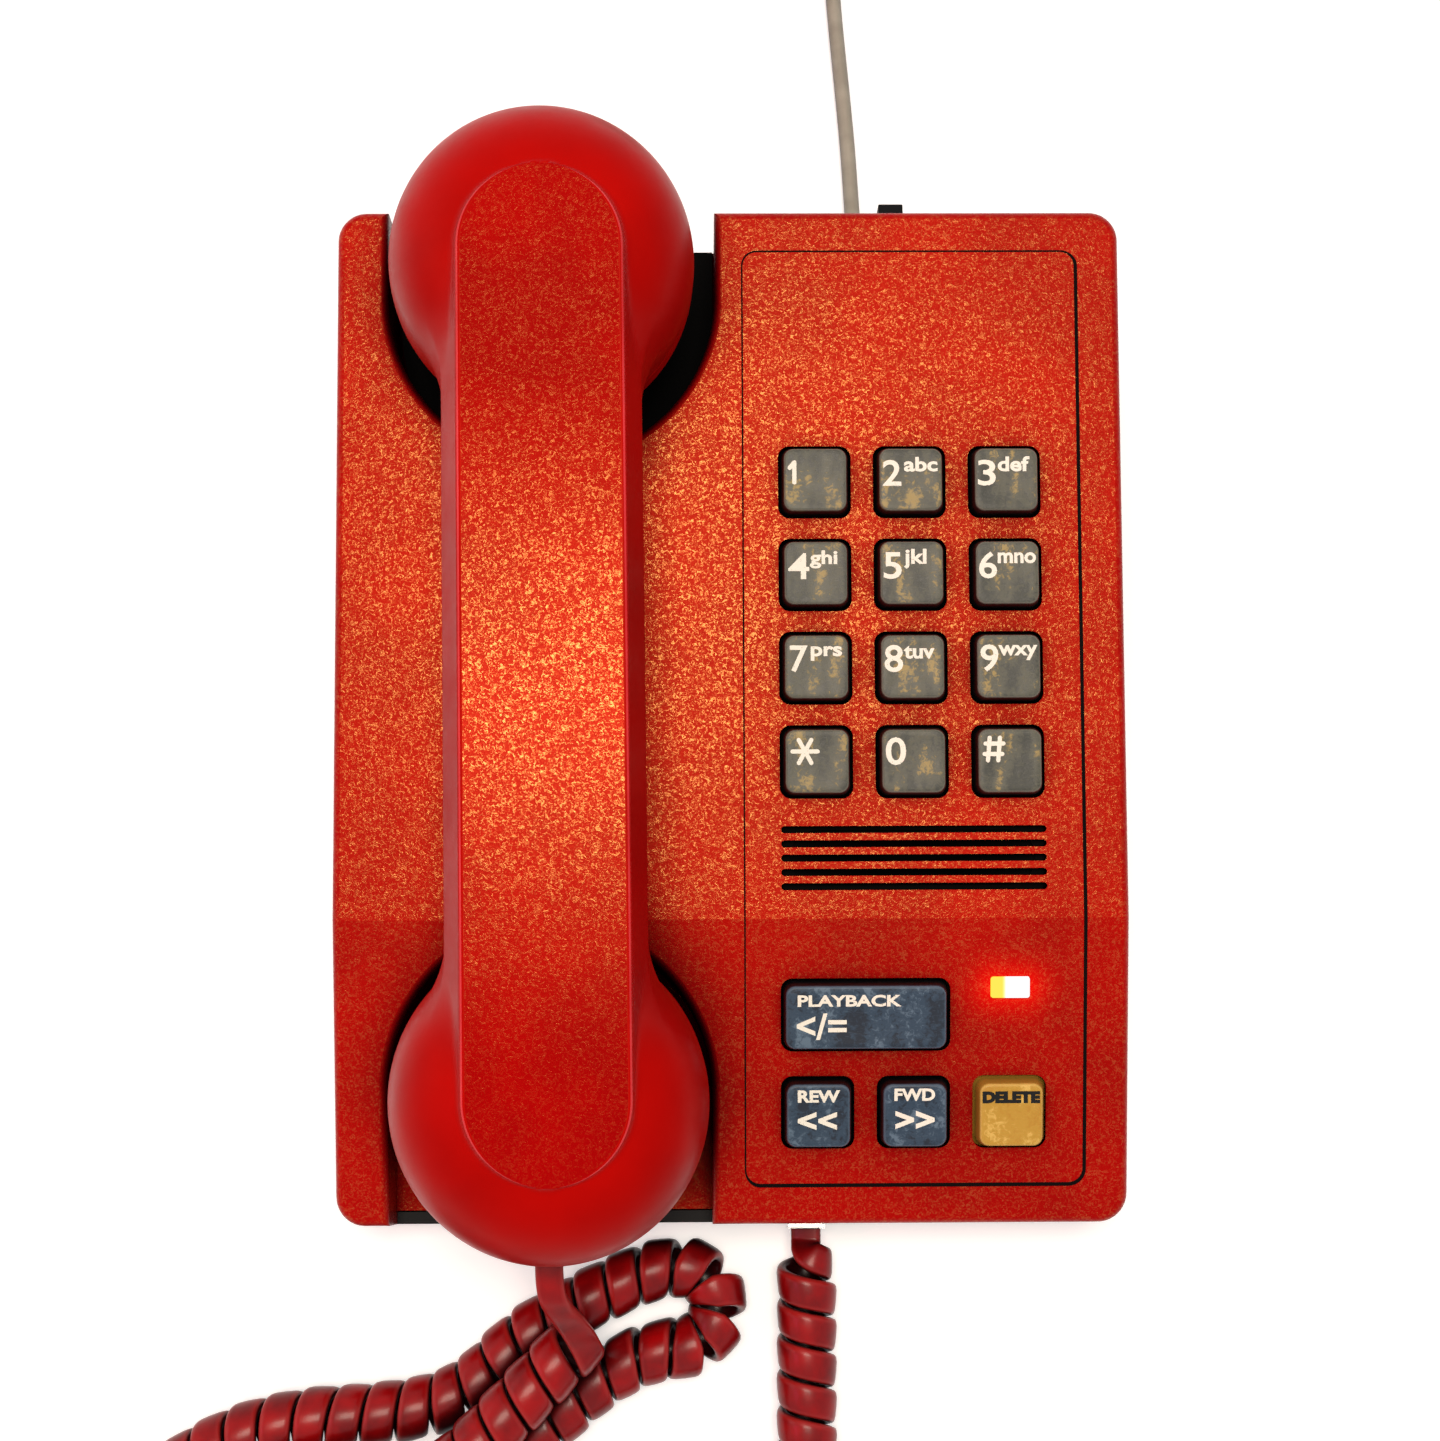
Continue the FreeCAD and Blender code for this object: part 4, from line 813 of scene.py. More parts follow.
@dataclass
class Studio:
    """The camera, the lamps, the pale table and the light all round.

    Attributes:
        camera_place: the camera's place in millimetres.
        lean: how far it looks towards the back, in degrees.
        roll: its turn about its own line of sight, in degrees.
        yaw: how far it looks to the right, in degrees.
        lens: its focal length in millimetres.
        sensor: its sensor's height in millimetres.
        table_half: half the table's side in metres.
        room_light: how strong the light all round is.
    """

    camera_place: tuple[float, float, float] = (-5.4, -87.8, 397.0)
    lean: float = 13.47
    roll: float = -0.33
    yaw: float = 0.54
    lens: float = 44.97
    sensor: float = 36.0
    table_half: float = 12.0
    room_light: float = 0.22

    def hang(self, name: str, data: bpy.types.ID, axes: Sequence[np.ndarray],
             place: Sequence[float]) -> bpy.types.Object:
        """Puts a camera or lamp in the scene.

        Args:
            name: its name.
            data: the camera's or lamp's data.
            axes: the directions of its own right, up and back.
            place: where it hangs, in metres.

        Returns:
            The object.
        """
        holder = bpy.data.objects.new(name, data)
        columns = np.stack([*axes, np.array(place, float)], -1)
        holder.matrix_world = Matrix(np.vstack([columns, [0.0, 0.0, 0.0, 1.0]]).tolist())
        bpy.context.scene.collection.objects.link(holder)
        return holder

    def set_camera(self) -> None:
        """Builds the camera: it looks down and a little to the back, with the given lean, yaw and roll."""
        lean, yaw, roll = (math.radians(a) for a in (self.lean, self.yaw, self.roll))
        ahead = unit(np.array([math.sin(yaw) * math.cos(lean), math.sin(lean),
                               -math.cos(lean) * math.cos(yaw)]))
        right = unit(np.cross(ahead, [0.0, 1.0, 0.0]))
        up = np.cross(right, ahead)
        data = bpy.data.cameras.new("camera")
        data.sensor_fit = "VERTICAL"
        data.sensor_height = self.sensor
        data.lens = self.lens
        data.clip_start = 0.01
        axes = (math.cos(roll) * right + math.sin(roll) * up, math.cos(roll) * up - math.sin(roll) * right,
                -ahead)
        bpy.context.scene.camera = self.hang("camera", data, axes, np.array(self.camera_place) * MM)

    def add_lamp(self, name: str, place: Sequence[float], aim: Sequence[float], size: tuple[float, float],
                 power: float, colour: str) -> None:
        """Adds a soft rectangular lamp.

        Args:
            name: the lamp's name.
            place: where it hangs, in metres.
            aim: the point it faces, in metres.
            size: its width and depth in metres.
            power: its power in watts.
            colour: its light's colour.
        """
        data = bpy.data.lights.new(name, "AREA")
        data.shape = "RECTANGLE"
        data.size, data.size_y = size
        data.energy = power
        data.color = linear(colour)[:3]
        back = unit(np.array(place, float) - np.array(aim, float))
        side = unit(np.cross([0.0, 1.0, 0.02], back))
        self.hang(name, data, (side, np.cross(back, side), back), place)

    def lay_table(self) -> None:
        """Lays a pale table, which rays that show the background see lit up and others see as mid grey."""
        half = self.table_half
        points = np.array([[-half, -half, 0.0], [half, -half, 0.0], [half, half, 0.0], [-half, half, 0.0]])
        table = mesh_object("table", points, [[0, 1, 2, 3]], smooth=False)
        material, tree, shader, place = plain_shader("matt_white_laminate")
        colour = toned(tree, noise(tree, place, 9.0, 3.0), (0.3, "#E6E6EA"), (0.7, "#F2F1F0"))
        seen = backdrop_rays(tree)
        set_sockets(shader, Base_Color=mixed(tree, seen, "#77777A", colour), Roughness=0.6)
        away = add_node(tree, "ShaderNodeVectorMath", {0: place}, operation="LENGTH").outputs["Value"]
        lift = ranged(tree, away, 0.42, 1.0, 0.3, 1.6, interpolation_type="SMOOTHSTEP")
        glow = add_node(tree, "ShaderNodeEmission", {"Color": linear("#FFFFFF"), "Strength": lift})
        dark = add_node(tree, "ShaderNodeEmission", {"Strength": 0.0})
        pick = add_node(tree, "ShaderNodeMixShader", {0: seen, 1: dark.outputs[0], 2: glow.outputs[0]})
        both = add_node(tree, "ShaderNodeAddShader", {0: shader.outputs[0], 1: pick.outputs[0]})
        tree.links.new(both.outputs[0], tree.nodes["Material Output"].inputs["Surface"])
        paint(table, material)

    def light_room(self) -> None:
        """Sets the even light all round, which rays that show the background see as white."""
        world = bpy.data.worlds.new("studio")
        world.use_nodes = True
        tree = world.node_tree
        base = tree.nodes["Background"]
        set_sockets(base, Color=linear("#F4F4F8"), Strength=self.room_light)
        white = add_node(tree, "ShaderNodeBackground", {"Color": linear("#FFFFFF"), "Strength": 1.0})
        pick = add_node(tree, "ShaderNodeMixShader",
                        {0: backdrop_rays(tree), 1: base.outputs[0], 2: white.outputs[0]})
        tree.links.new(pick.outputs[0], tree.nodes["World Output"].inputs["Surface"])
        bpy.context.scene.world = world

    def build(self) -> None:
        """Sets the camera, the lamps, the table and the room."""
        self.set_camera()
        self.light_room()
        self.lay_table()
        self.add_lamp("overhead_lamp", (0.0, -0.01, 1.15), (0.0, 0.0, 0.0), (0.5, 0.4), 10.5, "#FFEEDC")
        self.add_lamp("front_lamp", (-0.8, -0.3, 0.8), (0.0, -0.05, 0.02), (0.24, 0.3), 1.2, "#FF6090")
        self.add_lamp("left_lamp", (-0.95, 0.2, 0.6), (0.0, 0.0, 0.02), (0.4, 0.8), 0.9, "#FFFFFF")


# ---------------------------------------------------------------- the cords

COIL_ROUTE = (
    (0.0155, -0.10326, 0.0081), (0.0156, -0.117, 0.0068), (0.0153, -0.132, 0.0063),
    (0.0151, -0.149, 0.0063), (0.012, -0.168, 0.0063), (-0.001, -0.186, 0.0063),
    (-0.022, -0.198, 0.0063), (-0.048, -0.2035, 0.0063), (-0.077, -0.203, 0.0063),
    (-0.105, -0.1945, 0.0063), (-0.124, -0.1765, 0.0063), (-0.1215, -0.156, 0.0063),
    (-0.104, -0.1442, 0.0063), (-0.088, -0.1402, 0.0063), (-0.073, -0.1396, 0.0063),
    (-0.0595, -0.1376, 0.0063), (-0.051, -0.1326, 0.0063), (-0.0435, -0.125, 0.0063),
    (-0.0345, -0.1198, 0.0063), (-0.0258, -0.1154, 0.0063), (-0.0165, -0.1115, 0.0063),
    (-0.0076, -0.1109, 0.0063), (-0.0029, -0.1156, 0.0063), (-0.0029, -0.1222, 0.0063),
    (-0.0078, -0.1268, 0.0063), (-0.0165, -0.1276, 0.0063), (-0.0255, -0.1316, 0.0063),
    (-0.0345, -0.1386, 0.0063), (-0.044, -0.1478, 0.0063), (-0.054, -0.1595, 0.0063),
    (-0.064, -0.171, 0.0063), (-0.0765, -0.1793, 0.0063), (-0.09, -0.18, 0.0066),
    (-0.0995, -0.171, 0.0078), (-0.098, -0.1596, 0.0102), (-0.087, -0.1546, 0.013),
    (-0.0745, -0.1552, 0.0154), (-0.064, -0.1534, 0.0165), (-0.055, -0.148, 0.0166),
    (-0.047, -0.1404, 0.0164), (-0.0406, -0.134, 0.0164), (-0.0346, -0.128, 0.0164),
    (-0.0318, -0.1252, 0.0165),
)
TAIL_ROUTE = (
    (-0.0293, -0.1245, 0.023), (-0.0312, -0.1206, 0.0284), (-0.0336, -0.1172, 0.034),
    (-0.0352, -0.1135, 0.0382), (-0.0352, -0.1076, 0.0392),
)
LINE_ROUTE = (
    (0.031, 0.10662, 0.009), (0.0312, 0.1151, 0.008), (0.0311, 0.1241, 0.0046),
    (0.0309, 0.1346, 0.0021), (0.0303, 0.151, 0.0019), (0.0291, 0.169, 0.0019),
    (0.0277, 0.189, 0.0019), (0.0270, 0.2074, 0.0019),
)
LINE_END = ((-0.0135, 0.2484, 0.0036), (-0.0205, 0.2486, 0.0034), (-0.028, 0.2461, 0.0033))


@dataclass
class CurlyCord:
    """The handset's cord: a flat tape wound into a tight coil, and its last stretch as a plain flat tail.

    The coil is cut into two pieces at a turn: the long one lies on the table, and the other holds
    the last turns and the tail.

    Attributes:
        outside: the coil's outside diameter.
        tape_width: the tape's width.
        tape_thickness: its thickness.
        pitch: the distance between turns.
        steps_per_turn: how many sections a turn has.
        section_points: how many points a section has.
        squareness: the power n of its section.
        lap_angle: how far the section is turned so that the turns lap, in degrees.
        last_turns: how much of the coil's length goes into the second piece.
        end_angle: where round the coil the tape leaves it, in degrees.
        tail_width: the flat tail's width.
        tail_points: how many sections the tail has.
        lead_in: how far from the plug the turns start, and over what length they grow.
        lead_off: how far the tape runs straight on as it leaves the coil.
        room_limits: the least and the most of its width that the tape may use in a bend.
    """

    outside: float = 12.2
    tape_width: float = 6.3
    tape_thickness: float = 2.5
    pitch: float = 7.0
    steps_per_turn: int = 30
    section_points: int = 16
    squareness: float = 3.4
    lap_angle: float = 5.0
    last_turns: float = 36.0
    end_angle: float = 176.0
    tail_width: float = 5.4
    tail_points: int = 90
    lead_in: tuple[float, float] = (2.0, 7.0)
    lead_off: float = 4.0
    room_limits: tuple[float, float] = (0.42, 1.02)

    def section(self) -> tuple[np.ndarray, np.ndarray, np.ndarray]:
        """The tape's section as a superellipse |a|^n + |b|^n = 1, turned a little so that turns lap.

        Returns:
            Points across the width and through the thickness, each from -1 to 1, and how near to the
            outer edges, which take a painted highlight, each point is.
        """
        angle = np.arange(self.section_points) * TAU / self.section_points
        power = 2.0 / self.squareness
        across = np.sign(np.cos(angle)) * np.abs(np.cos(angle)) ** power
        through = np.sign(np.sin(angle)) * np.abs(np.sin(angle)) ** power
        edge = np.where(through > -0.1, np.abs(across), 0.0)
        return across, through, edge

    def helix(self, middle: np.ndarray, length: float) -> tuple[np.ndarray, np.ndarray, np.ndarray]:
        """Winds the tape's centreline left-handed round the coil's middle line.

        The place is middle + r (cos θ · left + sin θ · up), with θ falling by a full turn each pitch. r
        grows from 0 at the plug, and the turns start as it does.

        Args:
            middle: evenly spaced points of the coil's middle line, in metres.
            length: that line's length in metres.

        Returns:
            The tape's centreline, the outward direction, and how much of its width the tape may use
            where the coil bends and the turns crowd on the inside.
        """
        travelled = np.linspace(0.0, length, len(middle))
        ahead = unit(np.gradient(middle, travelled, axis=0))
        left = unit(np.cross([0.0, 0.0, 1.0], ahead))
        up = np.cross(ahead, left)
        wait, grow = self.lead_in
        started = smooth_step((travelled - wait * MM) / (grow * MM))
        rate = TAU / (self.pitch * MM) * started
        step = length / (len(middle) - 1)
        turned = np.cumsum(rate) * step
        angle = (turned[-1] - turned + math.radians(self.end_angle))[:, None]
        radius = (self.outside - self.tape_thickness) / 2 * MM
        outward = np.cos(angle) * left + np.sin(angle) * up
        bend = np.gradient(ahead, travelled, axis=0)
        room = 1.0 - radius * (bend * outward).sum(-1)
        return middle + started[:, None] * radius * outward, outward, np.clip(room, *self.room_limits)

    def tape(self, name: str, line: np.ndarray, width_way: np.ndarray,
             half_width: np.ndarray) -> bpy.types.Object:
        """Carries the tape's section along a line: each point is line + wide · across + thick · through.

        Args:
            name: the piece's name.
            line: the centreline in metres.
            width_way: the direction across the tape at each point.
            half_width: half the tape's width at each point, in metres.

        Returns:
            The tape as a closed mesh with its edge attribute.
        """
        across, through, edge = self.section()
        ahead = unit(np.gradient(line, axis=0))
        outward = unit(np.cross(ahead, width_way))
        over = np.cross(outward, ahead)
        lap = math.radians(self.lap_angle)
        wide = over * math.cos(lap) + outward * math.sin(lap)
        thick = outward * math.cos(lap) - over * math.sin(lap)
        half_thickness = self.tape_thickness / 2 * MM
        grid = (line[:, None] + wide[:, None] * (half_width[:, None] * across)[..., None]
                + thick[:, None] * (half_thickness * through)[None, :, None])
        points, faces = closed_grid(grid)
        piece = mesh_object(name, points, faces)
        # The edge attribute, which the vinyl paints as a highlight.
        wear_and_highlight = np.concatenate([np.tile(edge, len(line)), [0.0, 0.0]])
        mark(piece, "edge", wear_and_highlight)
        return piece

    def build(self, vinyl: bpy.types.Material) -> None:
        """Makes both pieces.

        Args:
            vinyl: the cord's material.
        """
        raw = spline_line(COIL_ROUTE)
        count = int(line_length(raw) / MM / self.pitch * self.steps_per_turn)
        middle, length = evenly(raw, count)
        line, outward, room = self.helix(middle, length)
        ahead = unit(np.gradient(line, axis=0))
        width_way = unit(np.cross(outward, ahead))
        half = room * self.tape_width / 2 * MM
        cut = count - int(self.last_turns / self.pitch * self.steps_per_turn)
        coil = self.tape("curly_cord", line[:cut], width_way[:cut], half[:cut])
        leave = line[-1] + ahead[-1] * self.lead_off * MM
        tail, _ = evenly(spline_line((tuple(line[-1]), tuple(leave), *TAIL_ROUTE)), self.tail_points)
        share = smooth_step(np.linspace(0.0, 1.4, len(tail)))[:, None]
        tail_way = unit((1.0 - share) * width_way[-1] + share * np.array([-1.0, 0.0, 0.0]))
        tail_half = (self.tape_width + (self.tail_width - self.tape_width) * share[:, 0]) / 2 * MM
        last_line = np.concatenate([line[cut - 1:], tail[1:]])
        last = self.tape("curly_cord_last_turns", last_line,
                         np.concatenate([width_way[cut - 1:], tail_way[1:]]),
                         np.concatenate([half[cut - 1:], tail_half[1:]]))
        for piece in (coil, last):
            paint(piece, vinyl)
        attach(coil, "root")
        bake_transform(last)
        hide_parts("handset_cord_coil")
        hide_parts("handset_cord_tail")


@dataclass
class LineCord:
    """The cord to the wall: a short run behind the case, then its spare length in a tied round coil.

    Attributes:
        diameter: the cord's diameter.
        middle: the middle of the put-away coil.
        rows: the radius of each turn, row by row from the table up.
        lowest: the height of the lowest row's middle.
        row_height: how far apart the rows lie.
        points_per_turn: how many control points a turn has.
        kept: the share of a turn that keeps its radius and height.
        come_down_points: how many control points the last part turn has.
        start_angle: where the first turn starts, in degrees.
        end_angle: where the last part turn ends, in degrees.
        come_down_radius: the last part turn's radius.
    """

    diameter: float = 3.7
    middle: tuple[float, float] = (6.5, 226.0)
    rows: tuple[tuple[float, ...], ...] = (
        (26.15, 22.4, 18.65, 14.9), (16.8, 20.5, 24.3), (26.15, 22.4, 18.65, 14.9), (16.8, 20.5, 24.3))
    lowest: float = 2.4
    row_height: float = 3.2
    points_per_turn: int = 14
    kept: float = 0.7
    come_down_points: int = 7
    start_angle: float = -42.2
    end_angle: float = 132.0
    come_down_radius: float = 30.0

    def turns(self) -> list[tuple[float, float, float]]:
        """The wound length as points: each turn keeps its radius and height, then eases to the next.

        The place is middle + r (cos θ, sin θ) at the row's height, with θ growing by a full turn for each
        step through the rows.

        Returns:
            Points in metres.
        """
        slots = [(radius, self.lowest + row * self.row_height)
                 for row, radii in enumerate(self.rows) for radius in radii]
        slots.append((self.come_down_radius, 0.5 * self.lowest + 0.5 * slots[-1][1]))
        turn_count = len(slots) - 1
        count = turn_count * self.points_per_turn
        along = np.arange(1, count) / self.points_per_turn
        k = np.floor(along).astype(int)
        ease = smooth_step((along - k - self.kept) / (1 - self.kept))
        table = np.array(slots)
        radius, height = (table[k] * (1 - ease[:, None]) + table[k + 1] * ease[:, None]).T
        angle = math.radians(self.start_angle) + along * TAU
        left = np.arange(self.come_down_points) / self.come_down_points
        last_angle = math.radians(self.start_angle) + left * math.radians(self.end_angle - self.start_angle)
        angle = np.concatenate([angle, last_angle])
        radius = np.concatenate([radius, np.full(len(left), self.come_down_radius)])
        last = slots[-1][1]
        height = np.concatenate([height, last + (self.diameter - last) * smooth_step(left * 1.2)])
        x = self.middle[0] + radius * np.cos(angle)
        y = self.middle[1] + radius * np.sin(angle)
        return [tuple(row) for row in (np.stack([x, y, height], -1) * MM).tolist()]

    def build(self, vinyl: bpy.types.Material) -> None:
        """Args:
            vinyl: the cord's material.
        """
        route = [*LINE_ROUTE, *self.turns(), *LINE_END]
        curve = nurbs_curve("line_cord_wire", route, 4)
        curve.bevel_depth = self.diameter / 2 * MM
        curve.bevel_resolution = 3
        curve.use_fill_caps = True
        wire = bpy.data.objects.new("line_cord_wire", curve)
        bpy.context.scene.collection.objects.link(wire)
        paint(wire, vinyl)
        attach(wire, "root")
        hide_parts("line_cord", "line_cord_coil")
        length = line_length(spline_line(route, 4))
        LOG.info("line cord: %.2f m", length)


# ---------------------------------------------------------------- the handset

@dataclass(frozen=True)
class HandsetEnd:
    """The ear or mouth end: where its middle lies, how wide it is, and which way the grip lies.

    Attributes:
        x: its middle across the face.
        s: its middle up the slope.
        radius: its largest radius.
        towards_grip: 1 where the grip lies up the slope from it, and -1 where it lies down the slope.
    """

    x: float
    s: float
    radius: float
    towards_grip: float


@dataclass
class Handset:
    """The handset's two shells: two round ends, a grip with a flat grained band, and flared necks between.

    Each cross-section at s is bounded by |x| <= W(s, h). W is the largest of the end's chord
    sqrt(R(h)² - d²), the bar's own half-width, and a concave arc of radius neck that touches both. R(h)
    follows (r/R)^p + (z/H)^p = 1 above the widest level and an ellipse below it, and d is the distance
    from the end's middle towards the grip.
    

    Attributes:
        ear: the ear end.
        mouth: the mouth end.
        equator: the height at which both ends are widest.
        rise: how far the tops of the ends and of the grip lie above that.
        power: the power p of the domes.
        cup_depth: how far the ends' flat faces lie below their widest level.
        fullness: half the height of the ellipse that their lower sides follow.
        band_half: half the flat band's width.
        shoulder: the height of the sloping shoulders beside the band.
        grip_half: half the grip's width.
        under_half: half the width of the grip's flat underside.
        grip_bottom: the height of the grip's underside.
        waist: the height at which the grip's side turns in to its underside.
        neck: the radius of the flared necks, seen from above.
        throat: the radius of the necks, seen from the side.
        band_end: how far from an end's middle the grip's rounded end has its own middle.
        roll: how far the top leans to the right, for each millimetre of height.
        cap_radius: the radius of the sunk place for each cap.
        seam_rise: how much higher the seam lies along the grip than at the ends.
        seam_depth: the depth of the groove along the seam.
        fineness: how many points a side is worked out from before it is evened out.
        lower_points: how many points a side of the lower shell has.
        upper_points: how many points a side of the upper shell has.
        under_points: how many points run across the underside.
        band_points: how many points run across the band.
        cap_middles: the middles of the ear cap and of the mouth cap.
        cap_sink: how deep the places for the caps are sunk.
        bevel: the size of the bevels on the band's two ridges.
        plug_middle: the (x, h) middle of the cord's plug.
        plug_half: half its width and height.
        plug_corner: its corner radius.
        plug_rows: where its rings lie along s, and the size of each as a share of the whole.
    """

    ear: HandsetEnd = HandsetEnd(-36.4, 126.0, 29.3, -1.0)
    mouth: HandsetEnd = HandsetEnd(-34.75, -32.6, 30.0, 1.0)
    equator: float = 14.0
    rise: float = 24.5
    power: float = 2.8
    cup_depth: float = 30.7
    fullness: float = 42.0
    band_half: float = 15.1
    shoulder: float = 8.5
    grip_half: float = 18.5
    under_half: float = 13.0
    grip_bottom: float = 18.5
    waist: float = 24.25
    neck: float = 25.0
    throat: float = 14.0
    band_end: float = 2.9
    roll: float = 0.067
    cap_radius: float = 17.0
    seam_rise: float = 9.0
    seam_depth: float = 0.5
    fineness: int = 260
    lower_points: int = 30
    upper_points: int = 40
    under_points: int = 60
    band_points: int = 14
    cap_middles: tuple[tuple[float, float], ...] = ((-36.2, 127.2), (-35.2, -34.1))
    cap_sink: float = 0.8
    bevel: float = 0.35
    plug_middle: tuple[float, float] = (-35.2, 8.5)
    plug_half: tuple[float, float] = (3.8, 3.3)
    plug_corner: float = 0.7
    plug_rows: tuple[tuple[float, float], ...] = ((-62.5, 0.94), (-62.3, 1.0), (-52.0, 1.0))

    def level(self, radius: float, h: np.ndarray) -> np.ndarray:
        """R(h), the radius of an end: (1 - u^p)^(1/p) of it above the widest level, sqrt(1 - d²) below.

        Args:
            radius: the end's largest radius.
            h: heights.

        Returns:
            The radius at each height.
        """
        up = np.clip((h - self.equator) / self.rise, 0.0, 1.0)
        down = np.clip((self.equator - h) / self.fullness, 0.0, 1.0)
        return radius * np.where(h >= self.equator, (1 - up ** self.power) ** (1 / self.power),
                                 np.sqrt(1 - down ** 2))

    def bar(self, h: np.ndarray) -> np.ndarray:
        """The grip's half-width: sloping shoulders, straight sides, and a quarter ellipse for its underside.

        Args:
            h: heights.

        Returns:
            The half-width at each height.
        """
        top = self.equator + self.rise
        slope = (self.grip_half - self.band_half) / self.shoulder
        upper = self.band_half + slope * np.clip(top - h, 0.0, self.shoulder)
        low = np.clip((self.waist - h) / (self.waist - self.grip_bottom), 0.0, 1.0)
        lower = self.under_half + (self.grip_half - self.under_half) * np.sqrt(1 - low ** 2)
        return np.where(h >= self.waist, upper, lower)

    def underside(self, radius: float, d: np.ndarray) -> np.ndarray:
        """Height of the grip's underside, which dips in an arc of radius throat to meet the end.

        Args:
            radius: the end's largest radius.
            d: distances from the end's middle towards the grip.

        Returns:
            The height at each distance.
        """
        across = self.grip_bottom - self.equator - self.throat
        start = math.sqrt((radius + self.throat) ** 2 - across ** 2)
        touch = start * radius / (radius + self.throat)
        along = start - np.clip(d, touch, start)
        return self.grip_bottom - self.throat + np.sqrt(self.throat ** 2 - along ** 2)

    def half_width(self, end: HandsetEnd, d: np.ndarray, h: np.ndarray) -> np.ndarray:
        """W: the largest of the chord, the bar and the neck's arc, with the last two only above the underside.

        Args:
            end: the ear or mouth end.
            d: distances from its middle towards the grip.
            h: heights.

        Returns:
            The half-width at each pair.
        """
        radius, bar = self.level(end.radius, h), self.bar(h)
        chord = np.sqrt(np.clip(radius ** 2 - d ** 2, 0.0, None))
        rounded = np.sqrt(np.clip(bar ** 2 - np.clip(self.band_end - d, 0.0, None) ** 2, 0.0, None))
        start = np.sqrt(np.clip((radius + self.neck) ** 2 - (bar + self.neck) ** 2, 0.0, None))
        touch = start * radius / (radius + self.neck)
        arc = bar + self.neck - np.sqrt(np.clip(self.neck ** 2 - (start - d) ** 2, 0.0, None))
        arc = np.where((d > touch) & (d < start), arc, 0.0)
        there = smooth_step((h - self.underside(end.radius, d) + 4.0) / 4.0)
        return chord + (np.maximum(np.maximum(chord, rounded), arc) - chord) * there

    def spans(self, end: HandsetEnd, d: np.ndarray) -> tuple[np.ndarray, np.ndarray, np.ndarray]:
        """Where a cross-section starts and ends: a bowl or the underside, and a dome or the band's flat top.

        Args:
            end: the ear or mouth end.
            d: distances from its middle towards the grip.

        Returns:
            The lowest height, the seam's height and the highest height at each distance.
        """
        share = np.clip(np.abs(d) / end.radius, 0.0, 1.0)
        dome_top = self.equator + self.rise * (1 - share ** self.power) ** (1 / self.power)
        band_top = self.equator + self.rise
        past = np.clip(self.band_end - d - self.band_half, 0.0, None)
        wall = band_top - past * self.shoulder / (self.grip_half - self.band_half)
        high = np.maximum(dome_top, wall)
        bowl = self.equator - np.minimum(self.fullness * np.sqrt(1 - share ** 2), self.cup_depth)
        open_bowl = np.where(share < 1.0, bowl, band_top)
        low = np.where(d > 0.0, np.minimum(open_bowl, self.underside(end.radius, d)), bowl)
        seam = self.equator + self.seam_rise * smooth_step((d - end.radius + 4.0) / 14.0)
        return low, np.clip(seam, low, high), high

    def stations(self) -> np.ndarray:
        """Where the cross-sections lie: close together at both ends and where the band's ends curve.

        Returns:
            Their s in rising order.
        """
        turn = np.linspace(0.012, 0.5 * math.pi, 56)
        outer_mouth = self.mouth.s - self.mouth.radius * np.cos(turn)
        outer_ear = self.ear.s + self.ear.radius * np.cos(turn)
        near = np.array([0.0, 0.06, 0.2, 0.45, 0.8, 1.3, 1.9])
        tips = [self.mouth.s + self.band_end - self.band_half + near,
                self.ear.s - self.band_end + self.band_half - near]
        middle = np.arange(self.mouth.s, self.ear.s, 1.0)
        return np.unique(np.round(np.concatenate([outer_mouth, middle, outer_ear, *tips]), 3))

    def side(self, end: HandsetEnd, d: float, low: float, high: float, count: int) -> np.ndarray:
        """Follows (W(h), h) up one side of a cross-section, evenly spaced along it.

        Args:
            end: the ear or mouth end.
            d: the distance from its middle towards the grip.
            low: where the side starts.
            high: where it ends.
            count: how many points are wanted.

        Returns:
            The (x, h) points.
        """
        share = 0.5 - 0.5 * np.cos(np.linspace(0.0, math.pi, self.fineness))
        h = low + (high - low) * share
        line = np.column_stack([self.half_width(end, np.full(len(h), d), h), h])
        return evenly(line, count)[0]

    def section(self, s: float) -> tuple[np.ndarray, np.ndarray]:
        """Goes round the lower and round the upper shell at one s, with a groove at the seam between them.

        Args:
            s: where the section lies.

        Returns:
            The ring of the lower and of the upper shell, each as (x, s, h) points.
        """
        middle = 0.5 * (self.ear.s + self.mouth.s)
        end = self.mouth if s < middle else self.ear
        d = (s - end.s) * end.towards_grip
        low, seam, high = (float(v) for v in self.spans(end, np.array(d)))
        lower = self.side(end, d, low, seam, self.lower_points)
        upper = self.side(end, d, seam, high, self.upper_points)
        groove = np.array([[min(self.seam_depth, 0.5 * upper[0, 0]), 0.0]])
        bevel = min(self.bevel, 0.45 * upper[-1, 0], 0.45 * (high - seam))
        lower = np.concatenate([lower[:-1], lower[-1:] - [[0.0, 0.15 * (high > seam)]], lower[-1:] - groove])
        ridge = np.array([[upper[-1, 0], high - bevel * 0.8], [upper[-1, 0] - bevel, high],
                          [upper[-1, 0] - 2.2 * bevel, high]])
        upper = np.concatenate([upper[:1] - groove, upper[:-1], ridge])
        rings = []
        for right, across in ((lower[::-1], self.under_points), (upper, self.band_points)):
            share = np.linspace(1.0, -1.0, across + 2)[1:-1, None]
            flat = np.column_stack([share * right[-1, 0], np.full(across, right[-1, 1])])
            left = right[::-1] * [-1.0, 1.0]
            ring = np.concatenate([right, flat, left])
            rings.append(np.column_stack([ring[:, 0], np.full(len(ring), s), ring[:, 1]]))
        return rings[0], rings[1]

